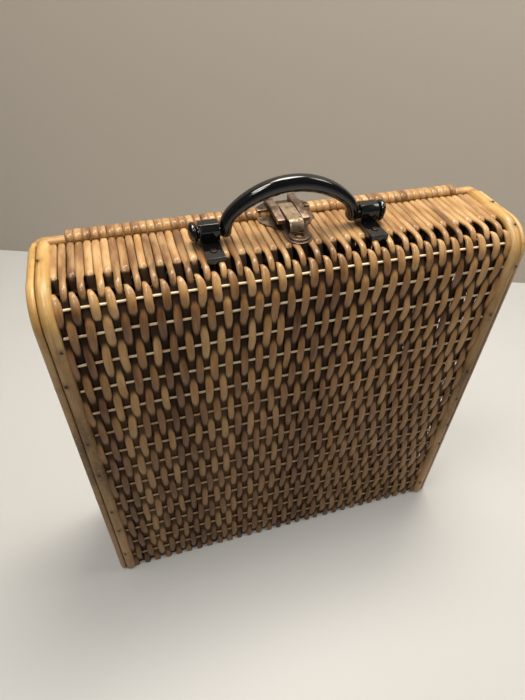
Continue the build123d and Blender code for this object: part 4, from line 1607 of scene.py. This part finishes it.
def bent_tongue(latch, paint):
    """The latch's tongue: a strap rolled round its pin, bent down over the eyelet in a wide curve."""
    low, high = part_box("latch_tongue")
    roll_steps, flat_steps, bend_steps = 10, 5, 12
    roll_start, roll_turn = -0.7 * math.pi, 1.2 * math.pi
    half_thickness = latch.tongue_thickness / 2
    middle = (low.x + high.x) / 2
    half = (high.x - low.x) / 2
    pivot = Vector(joints["latch_lift"]["pos_m"])
    top = high.z - half_thickness
    roll = latch.knuckle_radius - half_thickness
    line = []
    for step in range(roll_steps):
        angle = roll_start + step / (roll_steps - 1) * roll_turn
        line.append((pivot.y + roll * math.cos(angle), pivot.z + roll * math.sin(angle), angle))
    nose = low.y + half_thickness
    reach = latch.tongue_bend - half_thickness
    for step in range(1, flat_steps + 1):
        share = step / (flat_steps + 1)
        line.append((pivot.y + (nose + reach - pivot.y) * share, top, quarter_turn))
    for step in range(bend_steps + 1):
        angle = quarter_turn * (1 + step / bend_steps)
        line.append((nose + reach + reach * math.cos(angle), top - reach + reach * math.sin(angle), angle))
    line.append((nose, low.z, math.pi))
    bend_start = roll_steps + flat_steps + 1
    rings = []
    for index, (y, z, angle) in enumerate(line):
        narrow = 1 - latch.tongue_taper * min(max((index - bend_start) / bend_steps, 0), 1)
        wide = Vector((half * narrow, 0, 0))
        deep = Vector((0, math.cos(angle), math.sin(angle))) * half_thickness
        rings.append(oval(Vector((middle, y, z)), wide, deep, power=7, points=24))
    return lofted("latch_tongue_metal", rings, paint)


class PICNIC_OT_latch(bpy.types.Operator):
    """Finishes the catch, the hasp, the tongue and the hinges in aged bronze"""

    bl_idname = "picnic.latch"
    bl_label = "Finish Latch and Hinges"

    def execute(self, context):
        latch = context.scene.picnic_latch
        finish = context.scene.picnic_finish
        aged = bronze("aged bronze", finish.bronze_dark, finish.bronze_worn, finish, 0.85)
        satin = bronze("satin bronze", finish.bronze_dark, finish.tongue_gold, finish, 0.35)
        pieces = [
            ("catch_plate", "tray", latch.catch_rounding),
            ("hasp_plate", "lid", latch.hasp_rounding),
            ("latch_pin", "lid", latch.catch_rounding),
        ]
        for body in ("tray", "lid"):
            for _, name in both_sides:
                pieces.append((name + "_" + body + "_leaf", body, latch.leaf_rounding))
        for node, body, width in pieces:
            attached(softened(node, node + "_metal", width, aged), body, "bronze", node)
        attached(bent_tongue(latch, satin), "latch", "bronze", "latch_tongue")

        catch_low, catch_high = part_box("catch_plate")
        latch_x = (catch_low.x + catch_high.x) / 2
        plates = (
            ("tray", "catch_plate", latch.catch_nail_reach, latch.catch_nail_inset),
            ("lid", "hasp_plate", latch.hasp_nail_reach, latch.hasp_nail_inset),
        )
        for body, node, reach, inset in plates:
            low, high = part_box(node)
            points = []
            for side, _ in both_sides:
                head = Vector((latch_x + side * reach, high.y - inset, low.z + latch.plate_thickness))
                points.append((head, Vector((0, 0, 1))))
            nailed(body + "_plate_nails", body, points, latch.nail_radius, latch.nail_dome, 4, finish)
        return {"FINISHED"}


def plane(name, corners, paint):
    """A flat sheet of the stage."""
    mesh = bpy.data.meshes.new(name)
    mesh.from_pydata(corners, [], [tuple(range(len(corners)))])
    mesh.materials.append(paint)
    sheet = bpy.data.objects.new(name, mesh)
    bpy.context.scene.collection.objects.link(sheet)
    return sheet


def plain_material(name, shade, rough):
    """A plain, dull material of the stage."""
    material, _, shader = new_material(name)
    shader.inputs["Base Color"].default_value = (*shade, 1)
    shader.inputs["Roughness"].default_value = rough
    shader.inputs["Specular IOR Level"].default_value = 0.25
    return material


def one_sided(material):
    """Leaves a stage wall out of sight from behind, so that the case shows from all round."""
    tree = material.node_tree
    behind = tree.nodes.new("ShaderNodeNewGeometry").outputs["Backfacing"]
    clear = tree.nodes.new("ShaderNodeBsdfTransparent")
    choice = tree.nodes.new("ShaderNodeMixShader")
    tree.links.new(behind, choice.inputs[0])
    tree.links.new(tree.nodes["Principled BSDF"].outputs[0], choice.inputs[1])
    tree.links.new(clear.outputs[0], choice.inputs[2])
    tree.links.new(choice.outputs[0], tree.nodes["Material Output"].inputs["Surface"])
    return material


# Where the lamps stand, what they are aimed at and their sizes, in metres, and their tints.
lamps = {
    "key": {"place": (0.24, 0.3, 1.55), "aim": (0, 0, 0.3), "size": 0.6, "tint": (1.0, 0.93, 0.83)},
    "fill": {"place": (-0.34, -0.1, 1.5), "aim": (-0.1, -0.1, 0), "size": 0.42, "tint": (1.0, 0.95, 0.88)},
    "front": {"place": (-0.34, -0.7, 1.4), "aim": (0, 0, 0.4), "size": 0.26, "tint": (1.0, 0.97, 0.92)},
    "wall": {"place": (0.75, -0.15, 1.1), "aim": (0.75, 0.25, 0.7), "size": 0.4, "tint": (1.0, 0.95, 0.88)},
}


def lamp(name, power, place, aim, size, tint):
    """A soft square lamp aimed at a point."""
    data = bpy.data.lights.new(name, "AREA")
    data.shape = "SQUARE"
    data.size = size
    data.energy = power
    data.color = tint
    light = bpy.data.objects.new(name, data)
    light.location = place
    light.rotation_euler = (Vector(aim) - Vector(place)).to_track_quat("-Z", "Y").to_euler()
    bpy.context.scene.collection.objects.link(light)


def camera_turn(stage):
    """How the camera is turned: round the case, down to it and about its own view."""
    level = math.cos(stage.elevation)
    behind = Vector(
        (math.sin(stage.azimuth) * level, -math.cos(stage.azimuth) * level, math.sin(stage.elevation))
    )
    aside = Vector((math.cos(stage.azimuth), math.sin(stage.azimuth), 0))
    upward = behind.cross(aside)
    right_way = aside * math.cos(stage.roll) + upward * math.sin(stage.roll)
    up_way = upward * math.cos(stage.roll) - aside * math.sin(stage.roll)
    return Matrix((right_way, up_way, behind)).transposed().to_4x4()


class PICNIC_OT_stage(bpy.types.Operator):
    """Sets the pale floor, the plain wall, the soft light and the camera"""

    bl_idname = "picnic.stage"
    bl_label = "Set Stage"

    def execute(self, context):
        scene = context.scene
        stage = scene.picnic_stage
        corners = ((-1, -1), (1, -1), (1, 1), (-1, 1))
        floor = [(x * stage.floor_reach, y * stage.floor_reach, 0) for x, y in corners]
        plane("floor", floor, plain_material("pale floor", stage.floor, 0.4))
        left, right = Vector(stage.wall_left), Vector(stage.wall_right)
        up = Vector((0, 0, stage.wall_height))
        paint = one_sided(plain_material("plain wall", stage.wall, 0.8))
        plane("wall", [left, right, right + up, left + up], paint)
        world = bpy.data.worlds.new("soft room")
        world.use_nodes = True
        sky = world.node_tree.nodes["Background"]
        sky.inputs["Color"].default_value = (*stage.sky_tint, 1)
        sky.inputs["Strength"].default_value = stage.sky
        scene.world = world
        for name, values in lamps.items():
            lamp(name + " lamp", getattr(stage, name + "_power"), **values)
        view = bpy.data.cameras.new("camera")
        view.lens = stage.lens
        view.sensor_width = 36.0
        view.clip_start = 0.01
        camera = bpy.data.objects.new("camera", view)
        camera.matrix_world = Matrix.Translation(stage.camera_place) @ camera_turn(stage)
        scene.collection.objects.link(camera)
        scene.camera = camera
        scene.view_settings.view_transform = "Standard"
        return {"FINISHED"}


class PICNIC_PT_panel(bpy.types.Panel):
    """Lists the steps that dress the case"""

    bl_idname = "PICNIC_PT_panel"
    bl_label = "Picnic Case"
    bl_space_type = "VIEW_3D"
    bl_region_type = "UI"
    bl_category = "Picnic Case"

    def draw(self, context):
        for step in steps:
            self.layout.operator(step.bl_idname)
        for name, group in groups.items():
            for setting in group.__annotations__:
                self.layout.prop(getattr(context.scene, name), setting)


groups = {
    "picnic_weave": PicnicWeave,
    "picnic_cane": PicnicCane,
    "picnic_handle": PicnicHandle,
    "picnic_latch": PicnicLatch,
    "picnic_finish": PicnicFinish,
    "picnic_stage": PicnicStage,
}
steps = (
    PICNIC_OT_woven_walls,
    PICNIC_OT_cross_strips,
    PICNIC_OT_cane_rails,
    PICNIC_OT_straight_canes,
    PICNIC_OT_carry_handle,
    PICNIC_OT_latch,
    PICNIC_OT_stage,
)


def register():
    for name, group in groups.items():
        bpy.utils.register_class(group)
        setattr(bpy.types.Scene, name, bpy.props.PointerProperty(type=group))
    for step in (*steps, PICNIC_PT_panel):
        bpy.utils.register_class(step)


def unregister():
    for step in (PICNIC_PT_panel, *reversed(steps)):
        bpy.utils.unregister_class(step)
    for name, group in groups.items():
        delattr(bpy.types.Scene, name)
        bpy.utils.unregister_class(group)


def main():
    register()
    bpy.ops.picnic.woven_walls()
    bpy.ops.picnic.cross_strips()
    bpy.ops.picnic.cane_rails()
    bpy.ops.picnic.straight_canes()
    bpy.ops.picnic.carry_handle()
    bpy.ops.picnic.latch()
    bpy.ops.picnic.stage()


if __name__ == "__main__":
    main()
